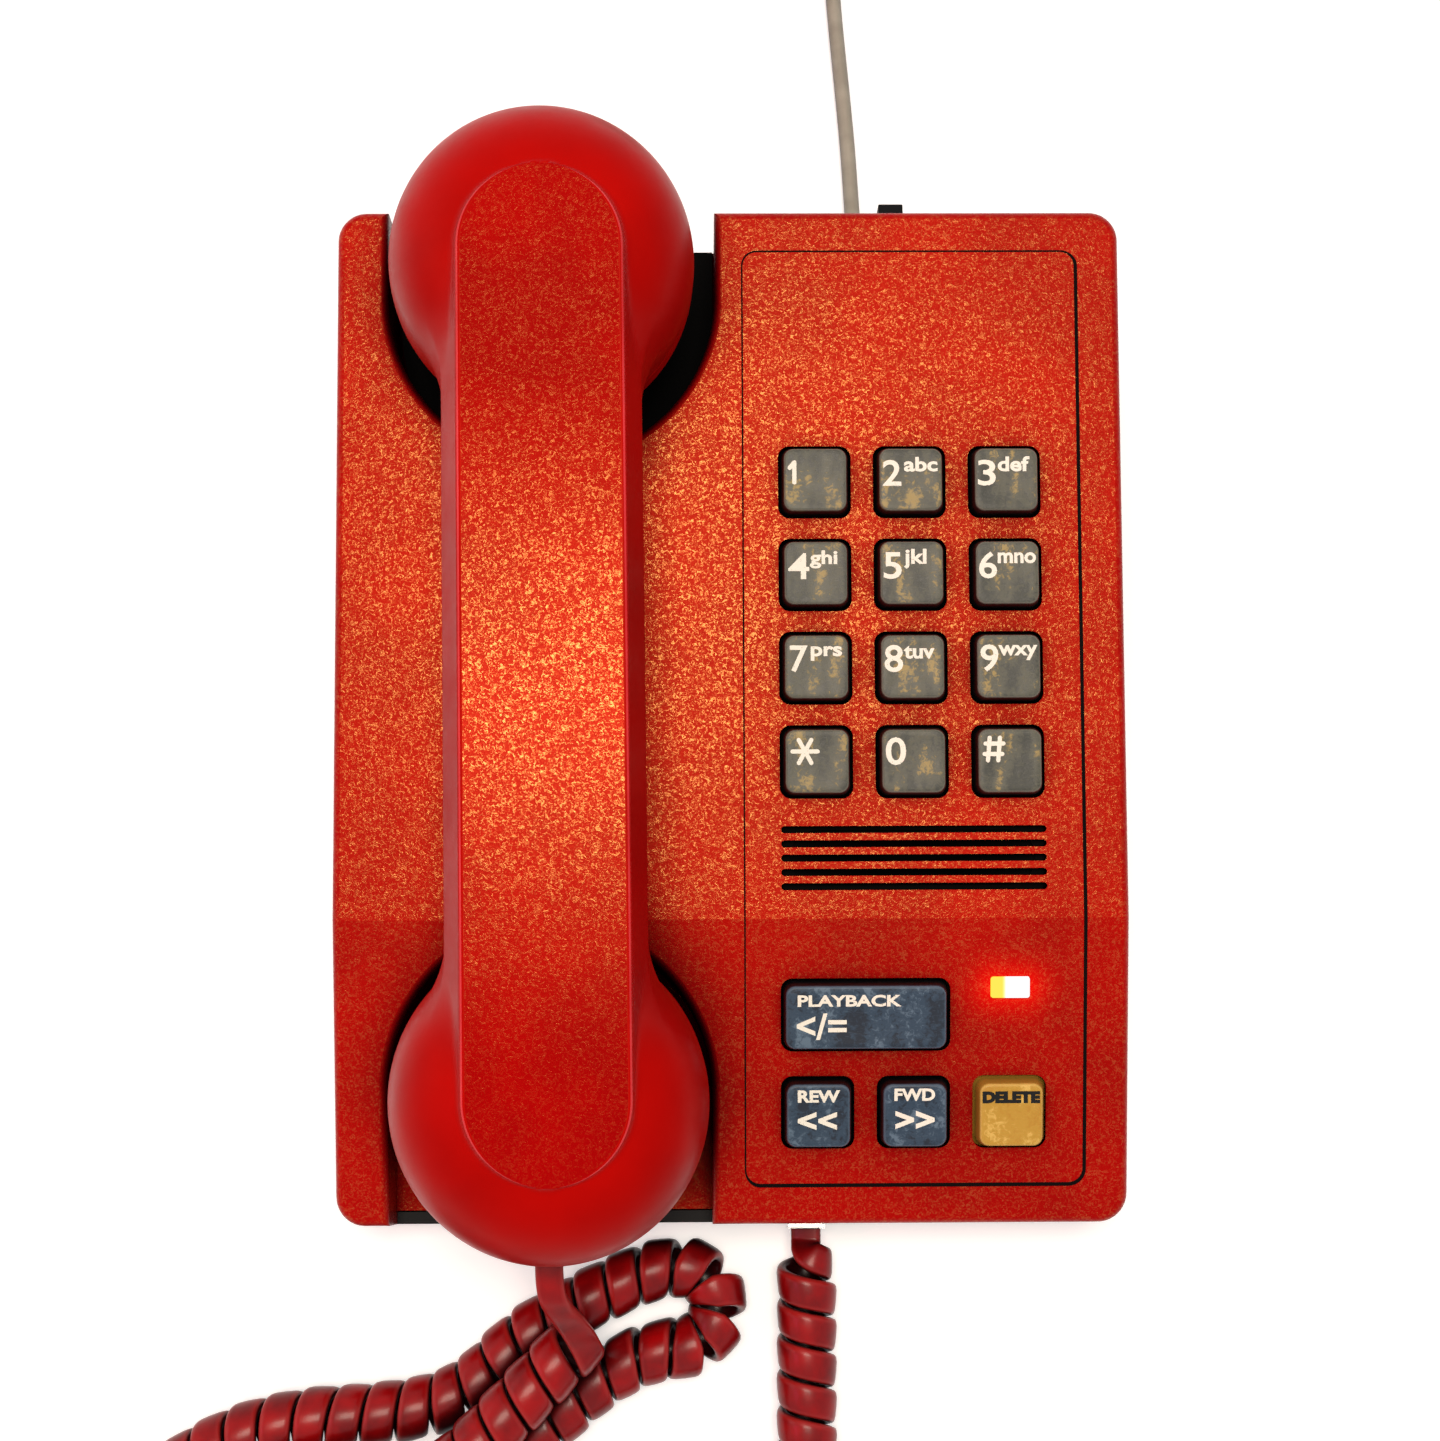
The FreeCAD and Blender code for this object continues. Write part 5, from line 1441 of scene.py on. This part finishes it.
    def placed(self, grid: np.ndarray) -> np.ndarray:
        """Shifts each cross-section onto the line between the ends, and leans its top to the right.

        Args:
            grid: (x, s, h) points round x = 0.

        Returns:
            The points where the handset lies.
        """
        share = (grid[..., 1] - self.mouth.s) / (self.ear.s - self.mouth.s)
        grid = grid.copy()
        grid[..., 0] += self.mouth.x + (self.ear.x - self.mouth.x) * share
        grid[..., 0] += self.roll * np.clip(grid[..., 2] - self.equator, 0.0, None)
        return grid

    def recess(self, grid: np.ndarray) -> np.ndarray:
        """Sinks the flat ends inside the caps' radius, with a soft step at their rims.

        Args:
            grid: the lower shell's points, which are changed.

        Returns:
            The same points.
        """
        floor = self.equator - self.cup_depth
        for x, s in self.cap_middles:
            away = np.hypot(grid[..., 0] - x, grid[..., 1] - s)
            sink = self.cap_sink * (1 - smooth_step((away - self.cap_radius - 0.1) / self.cap_sink))
            grid[..., 2] += np.where(grid[..., 2] < floor + 0.01, sink, 0.0)
        return grid

    def build(self, satin: bpy.types.Material, grained: bpy.types.Material, wear_and_highlight: bpy.types.Material,
              clear: bpy.types.Material) -> None:
        """Makes both shells and the cord's plug. The upper shell has its grained band between ridges whose
        pale finish paints a highlight along them.

        Args:
            satin: both shells' smooth finish.
            grained: the band's finish.
            wear_and_highlight: the finish of the band's two long edges, a pale pink that paints a highlight.
            clear: the plug's plastic.
        """
        sections = [self.section(float(s)) for s in self.stations()]
        lower = self.recess(self.placed(np.stack([pair[0] for pair in sections])))
        upper = self.placed(np.stack([pair[1] for pair in sections]))
        for name, node, grid in (("handset_front_shell", "handset_inner_shell", lower),
                                 ("handset_back_shell", "handset_outer_shell", upper)):
            points, faces = closed_grid(grid, flip=True)
            piece = mesh_object(name, UPPER.place(points), faces)
            paint(piece, satin)
            if grid is upper:
                self.lay_band(piece, grid.shape[1], grained, wear_and_highlight)
            weld(piece)
            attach(piece, "handset")
            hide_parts(node)
            LOG.info("%s: %d faces", name, len(faces))
        self.end_plug(clear)

    def lay_band(self, piece: bpy.types.Object, columns: int, grained: bpy.types.Material,
                 wear_and_highlight: bpy.types.Material) -> None:
        """Gives the flat band's faces the grained finish, and the ridge at each side of it the pale finish
        that paints a highlight along it.

        Args:
            piece: the upper shell.
            columns: how many points go round a cross-section.
            grained: the band's finish.
            wear_and_highlight: the ridges' finish, a painted highlight.
        """
        piece.data.materials.append(grained)
        piece.data.materials.append(wear_and_highlight)
        first, last = (columns - self.band_points) // 2 - 1, (columns + self.band_points) // 2
        count = len(piece.data.polygons)
        column = np.arange(count - 2 * columns) % columns
        slots = np.zeros(count, np.int32)
        around = slots[:len(column)]
        around[(column >= first) & (column < last)] = 1
        around[(column == first - 2) | (column == last + 1)] = 2
        piece.data.polygons.foreach_set("material_index", slots)

    def end_plug(self, clear: bpy.types.Material) -> None:
        """Makes the cord's clear plug in the mouth end, flush with the shell: a bar of rounded section.

        Args:
            clear: its plastic.
        """
        middle = np.array(self.plug_middle)
        flat = middle + np.concatenate(rounded_corners(self.plug_half, self.plug_corner, 5))
        rings = []
        for s, share in self.plug_rows:
            ring = middle + (flat - middle) * share
            rings.append(np.column_stack([ring[:, 0], np.full(len(ring), s), ring[:, 1]]))
        points, faces = closed_grid(np.stack(rings), flip=True)
        piece = mesh_object("handset_cord_socket_plug", UPPER.place(points), faces, smooth=False)
        paint(piece, clear)
        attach(piece, "handset")
        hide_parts("handset_end_plug")
        LOG.info("handset_cord_socket_plug: %d faces", len(faces))


# ---------------------------------------------------------------- the keys and the lamp

@dataclass(frozen=True)
class KeyPlastic:
    """A double-shot ABS key cap, polished and scuffed by fingers: a painted reflection mottled over its top, a
    paler rim, and painted shade on its dark sides.

    Attributes:
        name: the material's name.
        top: the colour of most of the cap's top.
        mottle: the colour of the darker patches of the painted reflection on its top.
        speck: the colour of the palest patches of that painted reflection.
        rim: the colour of its scuffs, and of its bevel where the cap's rim attribute is 1.
        side: the colour of its walls, where the cap's side attribute is 1: painted shade, near black on the
            grey and blue-black keys.
        rough: its mean roughness.
    """

    name: str
    top: str
    mottle: str
    speck: str
    rim: str
    side: str
    rough: float = 0.4

    def material(self) -> bpy.types.Material:
        """Builds the cap's material from a painted reflection in cloudy, streaked mottling, short scuffs, its
        rim attribute, and its side attribute, which paints shade on the walls.

        Returns:
            The material.
        """
        material, tree, shader, place = plain_shader(self.name)
        # The streaked bands and the clouds paint a reflection of the room into the top's colour.
        drawn = add_node(tree, "ShaderNodeMapping", {"Vector": place, "Scale": (250.0, 90.0, 200.0)})
        bands = noise(tree, drawn.outputs["Vector"], 1.0)
        cloud = noise(tree, place, 900.0, 4.0, Roughness=0.65, Distortion=0.8)
        painted_reflection = add_node(tree, "ShaderNodeMix", {"Factor": 0.45, "A": bands, "B": cloud}, data_type="FLOAT")
        top = toned(tree, painted_reflection.outputs["Result"], (0.42, self.mottle), (0.5, self.top), (0.55, self.top),
                    (0.62, self.speck))
        streaked = add_node(tree, "ShaderNodeMapping", {"Vector": place, "Scale": (900.0, 5200.0, 900.0),
                                                        "Rotation": (0.0, 0.0, 0.5)})
        scuffs = noise(tree, streaked.outputs["Vector"], 1.0, 3.0)
        colour = mixed(tree, ranged(tree, scuffs, 0.0, 0.35, 0.6, 0.75), top, self.rim)
        # The side attribute paints shade on the walls and the stem.
        for name, paint_over in (("rim", self.rim), ("side", self.side)):
            share = add_node(tree, "ShaderNodeAttribute", attribute_name=name).outputs["Fac"]
            colour = mixed(tree, share, colour, paint_over)
        set_sockets(shader, Base_Color=colour, IOR=1.54, Specular_IOR_Level=0.25,
                    Roughness=ranged(tree, cloud, self.rough - 0.12, self.rough + 0.16),
                    Normal=bumped(tree, cloud, 0.12, 0.0003))
        return material


@dataclass(frozen=True)
class PrintedInk:
    """Pad-printed ink, flat and a little worn so that the cap shows through in specks.

    Attributes:
        name: the material's name.
        colour: the ink's colour.
        wear_and_highlight: the colour of its worn specks.
    """

    name: str
    colour: str
    wear_and_highlight: str

    def material(self) -> bpy.types.Material:
        """Builds the ink: its colour breaks up in small worn specks.

        Returns:
            The material.
        """
        material, tree, shader, place = plain_shader(self.name)
        colour = toned(tree, noise(tree, place, 2600.0), (0.24, self.wear_and_highlight), (0.36, self.colour))
        set_sockets(shader, Base_Color=colour, Roughness=0.6, Specular_IOR_Level=0.2)
        return material


@dataclass(frozen=True)
class Legend:
    """One printed word or sign on a key.

    Attributes:
        text: what it says.
        left: its left edge from the key's middle.
        top: its top edge from the key's middle.
        width: how wide it is in all.
        height: how tall it is in all.
        weight: how much its strokes are thickened, in parts of the face's own size.
    """

    text: str
    left: float
    top: float
    width: float
    height: float
    weight: float = 0.014


STROKES = {
    "*": (((0.0, 0.5), (1.0, 0.5)), ((0.25, 0.0), (0.75, 1.0)), ((0.75, 0.0), (0.25, 1.0))),
    "#": (((0.0, 0.28), (0.94, 0.28)), ((0.06, 0.74), (1.0, 0.74)), ((0.18, 0.0), (0.28, 1.0)),
          ((0.72, 0.0), (0.82, 1.0))),
    "1": (((0.8, 0.0), (0.8, 1.0)), ((0.8, 1.0), (0.0, 0.72))),
}
NUMBER_PRINT = {
    "1": (Legend("1", -5.5, 3.9, 2.0, 4.9),),
    "2": (Legend("2", -5.6, 3.9, 3.7, 5.2), Legend("abc", -1.35, 4.5, 6.7, 2.95, 0.03)),
    "3": (Legend("3", -5.7, 3.9, 3.6, 5.2), Legend("def", -1.7, 4.6, 6.35, 3.05, 0.03)),
    "4": (Legend("4", -5.5, 3.95, 4.2, 5.2), Legend("ghi", -1.2, 4.5, 5.5, 3.6, 0.03)),
    "5": (Legend("5", -5.6, 4.1, 3.6, 5.35), Legend("jkl", -1.6, 4.75, 4.55, 3.95, 0.03)),
    "6": (Legend("6", -5.7, 4.15, 3.6, 5.35), Legend("mno", -1.95, 4.0, 7.6, 2.2, 0.03)),
    "7": (Legend("7", -5.3, 4.25, 3.55, 5.3), Legend("prs", -1.15, 4.1, 6.2, 2.9, 0.03)),
    "8": (Legend("8", -5.6, 4.3, 3.7, 5.4), Legend("tuv", -1.75, 4.15, 6.1, 2.6, 0.03)),
    "9": (Legend("9", -5.65, 4.35, 3.6, 5.4), Legend("wxy", -2.1, 4.2, 7.8, 3.0, 0.03)),
    "*": (Legend("*", -5.3, 4.65, 5.8, 5.4),),
    "0": (Legend("0", -5.55, 4.7, 4.05, 5.5),),
    "#": (Legend("#", -5.5, 4.95, 4.6, 5.3),),
}
FUNCTION_PRINT = {
    "playback_key": (Legend("PLAYBACK", -13.5, 4.55, 20.5, 2.35, 0.035),
                     Legend("</=", -13.7, 0.9, 9.85, 5.25, 0.02)),
    "rewind_key": (Legend("REW", -4.1, 5.2, 8.35, 2.5, 0.04), Legend("<<", -4.1, 0.85, 7.75, 3.6, 0.03)),
    "forward_key": (Legend("FWD", -4.1, 5.45, 8.05, 2.5, 0.04), Legend(">>", -3.9, 1.0, 7.75, 3.65, 0.03)),
    "delete_key": (Legend("DELETE", -5.75, 4.8, 11.4, 2.4, 0.075),),
}

# A cap's rings from its flange to the edge of its dish: height, inset, corner, and the rim and side marks,
# where the side mark paints shade on the walls.
CAP_PROFILE = (
    (-3.6, -1.5, 2.3, 0.0, 1.0), (-2.6, -1.5, 2.3, 0.0, 1.0), (-2.6, 0.0, 2.0, 0.0, 1.0),
    (0.0, 0.0, 2.0, 0.0, 1.0), (1.9, 0.3, 1.9, 0.0, 1.0), (2.3, 0.4, 1.9, 0.1, 0.9),
    (2.55, 0.48, 1.88, 0.6, 0.4), (2.74, 0.56, 1.8, 1.0, 0.0), (2.88, 0.67, 1.7, 0.8, 0.0),
    (2.97, 0.8, 1.6, 0.4, 0.0), (3.0, 0.95, 1.5, 0.05, 0.0),
)
DISH_RINGS = (0.85, 0.65, 0.4, 0.15)


class KeyKind(Enum):
    """The three colours of key."""

    NUMBER = "number_key"
    FUNCTION = "dark_key"
    DELETE = "ochre_key"


@dataclass
class Key:
    """A key: a bevelled cap with a dished top over its flange and stem, and its lettering.

    Attributes:
        name: the name of its body.
        face: the slope that it stands on.
        x: its middle across the face.
        s: its middle up the slope.
        half_x: half its length at the foot of its wall.
        kind: its colour.
        legends: what is printed on it.
        half_s: half its width at the foot of its wall.
        dish: how deep its top is dished.
        stem_radius: its stem's radius.
        stem_heights: where its stem starts and ends.
        stem_points: how many points go round its stem.
        print_lift: how far the print stands off its top.
        arc_points: how many points a corner has.
        side_points: how many points a side has between its corners.
    """

    name: str
    face: SlopingFace
    x: float
    s: float
    half_x: float
    kind: KeyKind
    legends: tuple[Legend, ...]
    half_s: float = 6.7
    dish: float = 0.16
    stem_radius: float = 2.3
    stem_heights: tuple[float, float] = (-6.4, -3.6)
    stem_points: int = 24
    print_lift: float = 0.03
    arc_points: int = 7
    side_points: int = 5

    def outline(self, inset: float, corner: float) -> np.ndarray:
        """A rounded rectangle, as four quarter circles joined by straight sides.

        Args:
            inset: how far it lies inside the cap's foot.
            corner: its corner radius.

        Returns:
            An (n, 2) array of points, counter-clockwise.
        """
        rows = rounded_corners((self.half_x - inset, self.half_s - inset), corner, self.arc_points)
        full = []
        for k, row in enumerate(rows):
            share = np.linspace(0.0, 1.0, self.side_points + 2)[1:-1, None]
            full += [row, row[-1] * (1 - share) + rows[(k + 1) % 4][0] * share]
        return np.concatenate(full)

    def sunk(self, x: np.ndarray, s: np.ndarray) -> np.ndarray:
        """How far the dished top lies below its rim: dish (1 - (x/a)²) (1 - (s/b)²).

        Args:
            x: places along the key from its middle.
            s: places across it from its middle.

        Returns:
            The depth at each place.
        """
        inset = CAP_PROFILE[-1][1]
        a, b = self.half_x - inset, self.half_s - inset
        return self.dish * np.clip(1 - (x / a) ** 2, 0, 1) * np.clip(1 - (s / b) ** 2, 0, 1)

    def cap(self) -> tuple[np.ndarray, list[list[int]], np.ndarray, np.ndarray]:
        """Rings from the flange up the wall, over the bevel and into the dish, and a round stem below.

        Returns:
            Drawn points, faces, and the rim and side marks of each point.
        """
        rings, marks = [], []
        for height, inset, corner, *mark_pair in CAP_PROFILE:
            flat = self.outline(inset, corner)
            rings.append(raised(flat, height))
            marks.append(np.tile(mark_pair, (len(flat), 1)))
        top, inset, corner = CAP_PROFILE[-1][:3]
        edge = self.outline(inset, corner)
        for share in DISH_RINGS:
            flat = edge * share
            rings.append(np.column_stack([flat, top - self.sunk(flat[:, 0], flat[:, 1])]))
            marks.append(np.zeros((len(flat), 2)))
        points, faces = closed_grid(np.stack(rings))
        points[-1, 2] = top - self.dish
        marks.append(np.array([[0.0, 1.0], [0.0, 0.0]]))
        angle = np.arange(self.stem_points) * TAU / self.stem_points
        circle = self.stem_radius * np.stack([np.cos(angle), np.sin(angle)], -1)
        stem = closed_grid(np.stack([raised(circle, height) for height in self.stem_heights]))
        marks.append(np.tile([0.0, 1.0], (len(stem[0]), 1)))
        all_points, all_faces = joined_parts([(points, faces), stem])
        rim, side = np.concatenate(marks).T
        return all_points, all_faces, rim, side

    def build(self, plastic: bpy.types.Material, ink: bpy.types.Material) -> None:
        """Makes the cap and its lettering, and lets both ride on the key's body.

        Args:
            plastic: the cap's material.
            ink: the lettering's material.
        """
        drawn, faces, rim, side = self.cap()
        place = np.array([self.x, self.s, 0.0])
        piece = mesh_object(f"{self.name}_cap", self.face.place(drawn + place), faces)
        for label, values in (("rim", rim), ("side", side)):
            mark(piece, label, values)
        paint(piece, plastic)
        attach(piece, self.name)
        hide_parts(self.name)
        lettering = self.lettering()
        if lettering:
            points, letter_faces = joined_parts(lettering)
            points[:, 2] += CAP_PROFILE[-1][0] + self.print_lift - self.sunk(points[:, 0], points[:, 1])
            letters = mesh_object(f"{self.name}_lettering", self.face.place(points + place),
                                  letter_faces, smooth=False)
            paint(letters, ink)
            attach(letters, self.name)

    def lettering(self) -> list[Surface]:
        """The key's words and signs, each as drawn points and faces."""
        return [stroke_sign(legend) if legend.text in STROKES else printed_word(legend)
                for legend in self.legends]


def stroke_sign(legend: Legend, half: float = 0.42) -> Surface:
    """Draws a sign from straight round-ended strokes.

    Args:
        legend: the sign, where it goes and how large it is.
        half: half the strokes' thickness.

    Returns:
        Drawn points and faces.
    """
    corner = np.array([legend.left + half, legend.top - legend.height + half])
    size = np.array([legend.width, legend.height]) - 2 * half
    turn = np.linspace(-0.5 * math.pi, 0.5 * math.pi, 7)
    strokes = []
    for first, last in STROKES[legend.text]:
        start, stop = corner + size * first, corner + size * last
        along = unit(stop - start)
        across = np.array([-along[1], along[0]])
        cap = half * (np.cos(turn)[:, None] * along + np.sin(turn)[:, None] * across)
        flat = np.concatenate([stop + cap, start - cap])
        strokes.append((raised(flat, 0.0), [list(range(len(flat)))]))
    return joined_parts(strokes)


def printed_word(legend: Legend) -> Surface:
    """Sets a word in the plain built-in face and scales it to its real width and height.

    Args:
        legend: the word, where it goes and how large it is.

    Returns:
        Drawn points and faces.
    """
    curve = bpy.data.curves.new("word", "FONT")
    curve.body = legend.text
    curve.size = 1.0
    curve.offset = legend.weight
    curve.resolution_u = 4
    points, faces = drawn_out(curve)
    share = (points[:, :2] - points[:, :2].min(0)) / np.ptp(points[:, :2], 0)
    placed = share * [legend.width, legend.height] + [legend.left, legend.top - legend.height]
    return raised(placed, 0.0), faces


@dataclass
class Keypad:
    """All sixteen keys, by rows.

    Attributes:
        middle_x: the middle of the number keys' middle column.
        pitch_x: the distance between columns.
        pitch_s: the distance between the rows of number keys.
        first_s: the middle of the lowest row of number keys.
        function_s: the middle of the row of rewind, forward and delete.
        playback_s: the middle of the playback key up the slope.
        playback_middle: its middle across the face.
        playback_half: half its length.
        key_half: half the length of every other key.
    """

    middle_x: float = 36.05
    pitch_x: float = 19.05
    pitch_s: float = 18.7
    first_s: float = 31.0
    function_s: float = -38.75
    playback_s: float = -19.2
    playback_middle: float = 26.4
    playback_half: float = 16.25
    key_half: float = 6.7

    def keys(self) -> list[Key]:
        """Every key with its place, its colour and its lettering.

        Returns:
            The number keys from the lowest row up, then the four function keys.
        """
        made = []
        names = {"*": "key_star", "#": "key_hash"}
        for row, signs in enumerate(("*0#", "789", "456", "123")):
            for column, sign in enumerate(signs):
                made.append(Key(names.get(sign, f"key_{sign}"), UPPER,
                                self.middle_x + (column - 1) * self.pitch_x, self.first_s + row * self.pitch_s,
                                self.key_half, KeyKind.NUMBER, NUMBER_PRINT[sign]))
        made.append(Key("playback_key", LOWER, self.playback_middle, self.playback_s, self.playback_half,
                        KeyKind.FUNCTION, FUNCTION_PRINT["playback_key"]))
        kinds = {"rewind_key": KeyKind.FUNCTION, "forward_key": KeyKind.FUNCTION, "delete_key": KeyKind.DELETE}
        for column, (name, kind) in enumerate(kinds.items()):
            made.append(Key(name, LOWER, self.middle_x + (column - 1) * self.pitch_x, self.function_s,
                            self.key_half, kind, FUNCTION_PRINT[name]))
        return made

    def build(self) -> None:
        """Makes every key with its plastic and its ink."""
        plastics = {
            # Each key's mottle and speck colours paint a reflection on its top, and its last colour is its
            # walls' colour, near black as painted shade on the grey and blue-black keys.
            KeyKind.NUMBER: KeyPlastic("grey_abs_key", "#4E5044", "#2C302A", "#A08C56", "#7E8076", "#040404"),
            KeyKind.FUNCTION: KeyPlastic("blue_black_abs_key", "#2E4256", "#16202E", "#5E7488", "#5C7084",
                                         "#030405"),
            KeyKind.DELETE: KeyPlastic("ochre_abs_key", "#C49A3C", "#BE8E34", "#E2BC62", "#DEBA64", "#A88030"),
        }
        made = {kind: finish.material() for kind, finish in plastics.items()}
        white = PrintedInk("cream_pad_print", "#FFFEF2", "#B4B2A0").material()
        black = PrintedInk("black_pad_print", "#050505", "#2A2008").material()
        for key in self.keys():
            key.build(made[key.kind], black if key.kind is KeyKind.DELETE else white)
            LOG.info("key %s", key.name)


# ---------------------------------------------------------------- building it all

@dataclass
class PanelSeamShadow:
    """A painted shadow: a black strip round the face panel, wider at its right and front edges, where the
    seam's shade falls.

    It runs between two loops: the panel's own rounded outline, and that outline pushed out.

    Attributes:
        left: the panel's left edge.
        right: its right edge.
        back: its back edge up the slope.
        front: its front edge.
        corner: its corner radius.
        spread: the strip's width at the left, right, back and front.
        lift: how far the strip lies off the faces.
    """

    left: float = 2.8
    right: float = 69.8
    back: float = 134.1
    front: float = -53.1
    corner: float = 2.8
    spread: tuple[float, float, float, float] = (0.3, 0.7, 0.35, 0.75)
    lift: float = 0.02

    def loops(self) -> tuple[np.ndarray, np.ndarray]:
        """The inner and the outer loop as four corner arcs, with a point of each side on the crease.

        Returns:
            The inner and the outer loop as (x, s) points.
        """
        west, east, north, south = self.spread
        inner, outer = [], []
        for k, (x, s) in enumerate(((self.right, self.back), (self.left, self.back),
                                    (self.left, self.front), (self.right, self.front))):
            angle = np.linspace(0.0, 0.5 * math.pi, 9) + k * 0.5 * math.pi
            way = np.round(np.stack([np.cos(angle), np.sin(angle)], -1), 9)
            middle = np.array([x, s]) - self.corner * np.sign([x - self.left - 1.0, s - self.front - 1.0])
            reach = self.corner + np.where(way > 0, [east, north], [west, south])
            inner.append(middle + self.corner * way)
            outer.append(middle + reach * way)
            if k in (1, 3):
                side, out = (self.left, -west) if k == 1 else (self.right, east)
                inner.append(np.array([[side, 0.0]]))
                outer.append(np.array([[side + out, 0.0]]))
        return np.concatenate(inner), np.concatenate(outer)

    def build(self) -> None:
        """Makes the strip as a closed ribbon that lies on both slopes."""
        inner, outer = self.loops()
        flat = np.concatenate([inner, outer])
        drawn = raised(flat, self.lift)
        placed = np.where(flat[:, 1:] >= 0.0, UPPER.place(drawn), LOWER.place(drawn))
        count = len(inner)
        after = (np.arange(count) + 1) % count
        faces = np.stack([np.arange(count), np.arange(count) + count, after + count, after], -1)
        # The black strip is a painted shadow of the panel's seam.
        piece = mesh_object("face_panel_seam_shadow", placed, faces, smooth=False)
        paint(piece, PlainPlastic("black_painted_seam_shadow", "#0A0404", "#050202", 0.9, 0.1).material())
        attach(piece, "root")
        LOG.info("face_panel_seam_shadow: %d faces", len(faces))


@dataclass
class Carcass:
    """Every solid that keeps its own shape. Each field of names is a group with one finish.

    Attributes:
        lamp_middle: the (x, s, h) middle of the lamp's window.
        yellow_half: how far left of that middle the window turns from yellow to white, in metres.
    """

    lamp_middle: tuple[float, float, float] = (55.25, -13.9, 0.0)
    red_case: tuple[str, ...] = ("upper_case",)
    red_panel: tuple[str, ...] = ("face_panel",)
    black_parts: tuple[str, ...] = ("lower_case", "line_cord_grommet", "ringer_switch", "ringer_knob",
                                    "handset_socket", "hook_switch", "hook_plunger")
    foam: tuple[str, ...] = ("ear_cradle_pad",)
    rubber: tuple[str, ...] = ("rubber_feet",)
    mats: tuple[str, ...] = ("number_key_mat", "function_key_mat")
    boards: tuple[str, ...] = ("main_board", "number_key_board", "function_key_board")
    paper: tuple[str, ...] = ("speaker_cone", "speaker_frame")
    ferrite: tuple[str, ...] = ("speaker_magnet", "chips")
    cans: tuple[str, ...] = ("capacitors", "receiver_capsule", "microphone_capsule")
    steel: tuple[str, ...] = ("case_screws", "board_screws", "handset_screws", "handset_weight",
                              "line_transformer")
    caps: tuple[str, ...] = ("ear_cap", "mouth_cap")
    clear: tuple[str, ...] = ("handset_cord_plug", "line_cord_plug")
    ribbon: tuple[str, ...] = ("ribbon_cable",)
    tie: tuple[str, ...] = ("line_cord_tie",)
    lamp: tuple[str, ...] = ("led_lens", "led")
    yellow_half: float = 0.0012

    def grained_red(self, name: str, **extra: Any) -> bpy.types.Material:
        """The case's red: deep and grained, with a warm sparkle where it mirrors the lamp, glints painted on
        the grain tops, and painted shade in its recesses.

        Args:
            name: the material's name.
            extra: any other fields of MouldedPlastic.

        Returns:
            The material.
        """
        return MouldedPlastic(name, "#AE0306", "#9E0206", "#F06434", grain=0.68, depth=0.32, rough=0.36,
                              polished=0.17, glints=0.06, tint="#B04028", top_tint="#FFC070",
                              sheen_level=1.0, **extra).material()

    def dress(self) -> None:
        """Paints each group of solids."""
        middle = LOWER.place(np.array(self.lamp_middle))
        glow = LampGlow(tuple(float(v) for v in middle))
        finishes = (
            (self.red_case, self.grained_red("spark_eroded_red_abs")),
            (self.red_panel, self.grained_red("red_abs_panel", glow=glow)),
            (self.black_parts, PlainPlastic("black_abs", "#050507", "#030304", 0.5, 0.1).material()),
            (self.foam, PlainPlastic("black_cradle_foam", "#050505", "#030303", 0.95, 0.1, 0.8,
                                     0.5).material()),
            (self.rubber, PlainPlastic("black_rubber", "#161616", "#0E0E0E", 0.8, 0.3).material()),
            (self.mats, PlainPlastic("grey_silicone_rubber", "#3A3A3C", "#303032", 0.6).material()),
            (self.boards, PlainPlastic("green_circuit_board", "#1C5A34", "#164A2A", 0.35).material()),
            (self.paper, PlainPlastic("black_paper_cone", "#060606", "#040404", 0.95, 0.1).material()),
            (self.ferrite, PlainPlastic("dark_ferrite", "#1E1E20", "#161618", 0.6).material()),
            (self.cans, PlainMetal("drawn_aluminium", "#C8CACC", "#A8AAAE", 0.35).material()),
            (self.steel, PlainMetal("zinc_plated_steel", "#B4B6B8", "#8E9094", 0.32).material()),
            (self.caps, SatinPlastic("satin_red_cap", "#B40C08", "#A80808", "#FF9A70", 0.36).material()),
            (self.clear, ClearPlastic().material()),
            (self.ribbon, PlainPlastic("grey_ribbon_vinyl", "#9A9A9C", "#8C8C90", 0.4).material()),
            (self.tie, PlainPlastic("black_nylon_tie", "#101010", "#0A0A0A", 0.4).material()),
            (self.lamp, LampWindow(float(middle[0]) - self.yellow_half).material()),
        )
        for names, material in finishes:
            for name in names:
                paint(bpy.data.objects[name], material)
            LOG.info("%s: %s", material.name, ", ".join(names))


def main() -> None:
    """Loads the frame, dresses it, and builds the visual pieces and the studio."""
    logging.basicConfig(level=logging.INFO, format="%(message)s")
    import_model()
    bpy.context.scene.view_settings.view_transform = "Standard"
    Carcass().dress()
    satin = SatinPlastic("satin_red_abs", "#B80504", "#A80404", "#FF7A58").material()
    grained = Carcass().grained_red("grained_red_band", rubbed=(-0.014, 0.064), ior=1.72)
    # The ridges' pale pink finish paints a highlight along the band's two long edges.
    wear_and_highlight = SatinPlastic("red_ridge_painted_highlight", "#E03840", "#C81C24", "#FFC0B0", 0.3, 0.5).material()
    Handset().build(satin, grained, wear_and_highlight, ClearPlastic().material())
    PanelSeamShadow().build()
    # Each cord's third colour paints a highlight on its outer edges, and its gap colour paints shade between
    # its turns.
    red_vinyl = CordVinyl("red_pvc_cord", "#A4060A", "#7A0408", "#B8302E", rough=0.3, coat=0.04,
                          painted_shade="#1A0204", gloss=0.2)
    grey_vinyl = CordVinyl("grey_pvc_cord", "#A8A294", "#989284", "#A8A294", rough=0.45, coat=0.0,
                           painted_shade="#34322C")
    Keypad().build()
    CurlyCord().build(red_vinyl.material())
    LineCord().build(grey_vinyl.material())
    Studio().build()


if __name__ == "__main__":
    main()
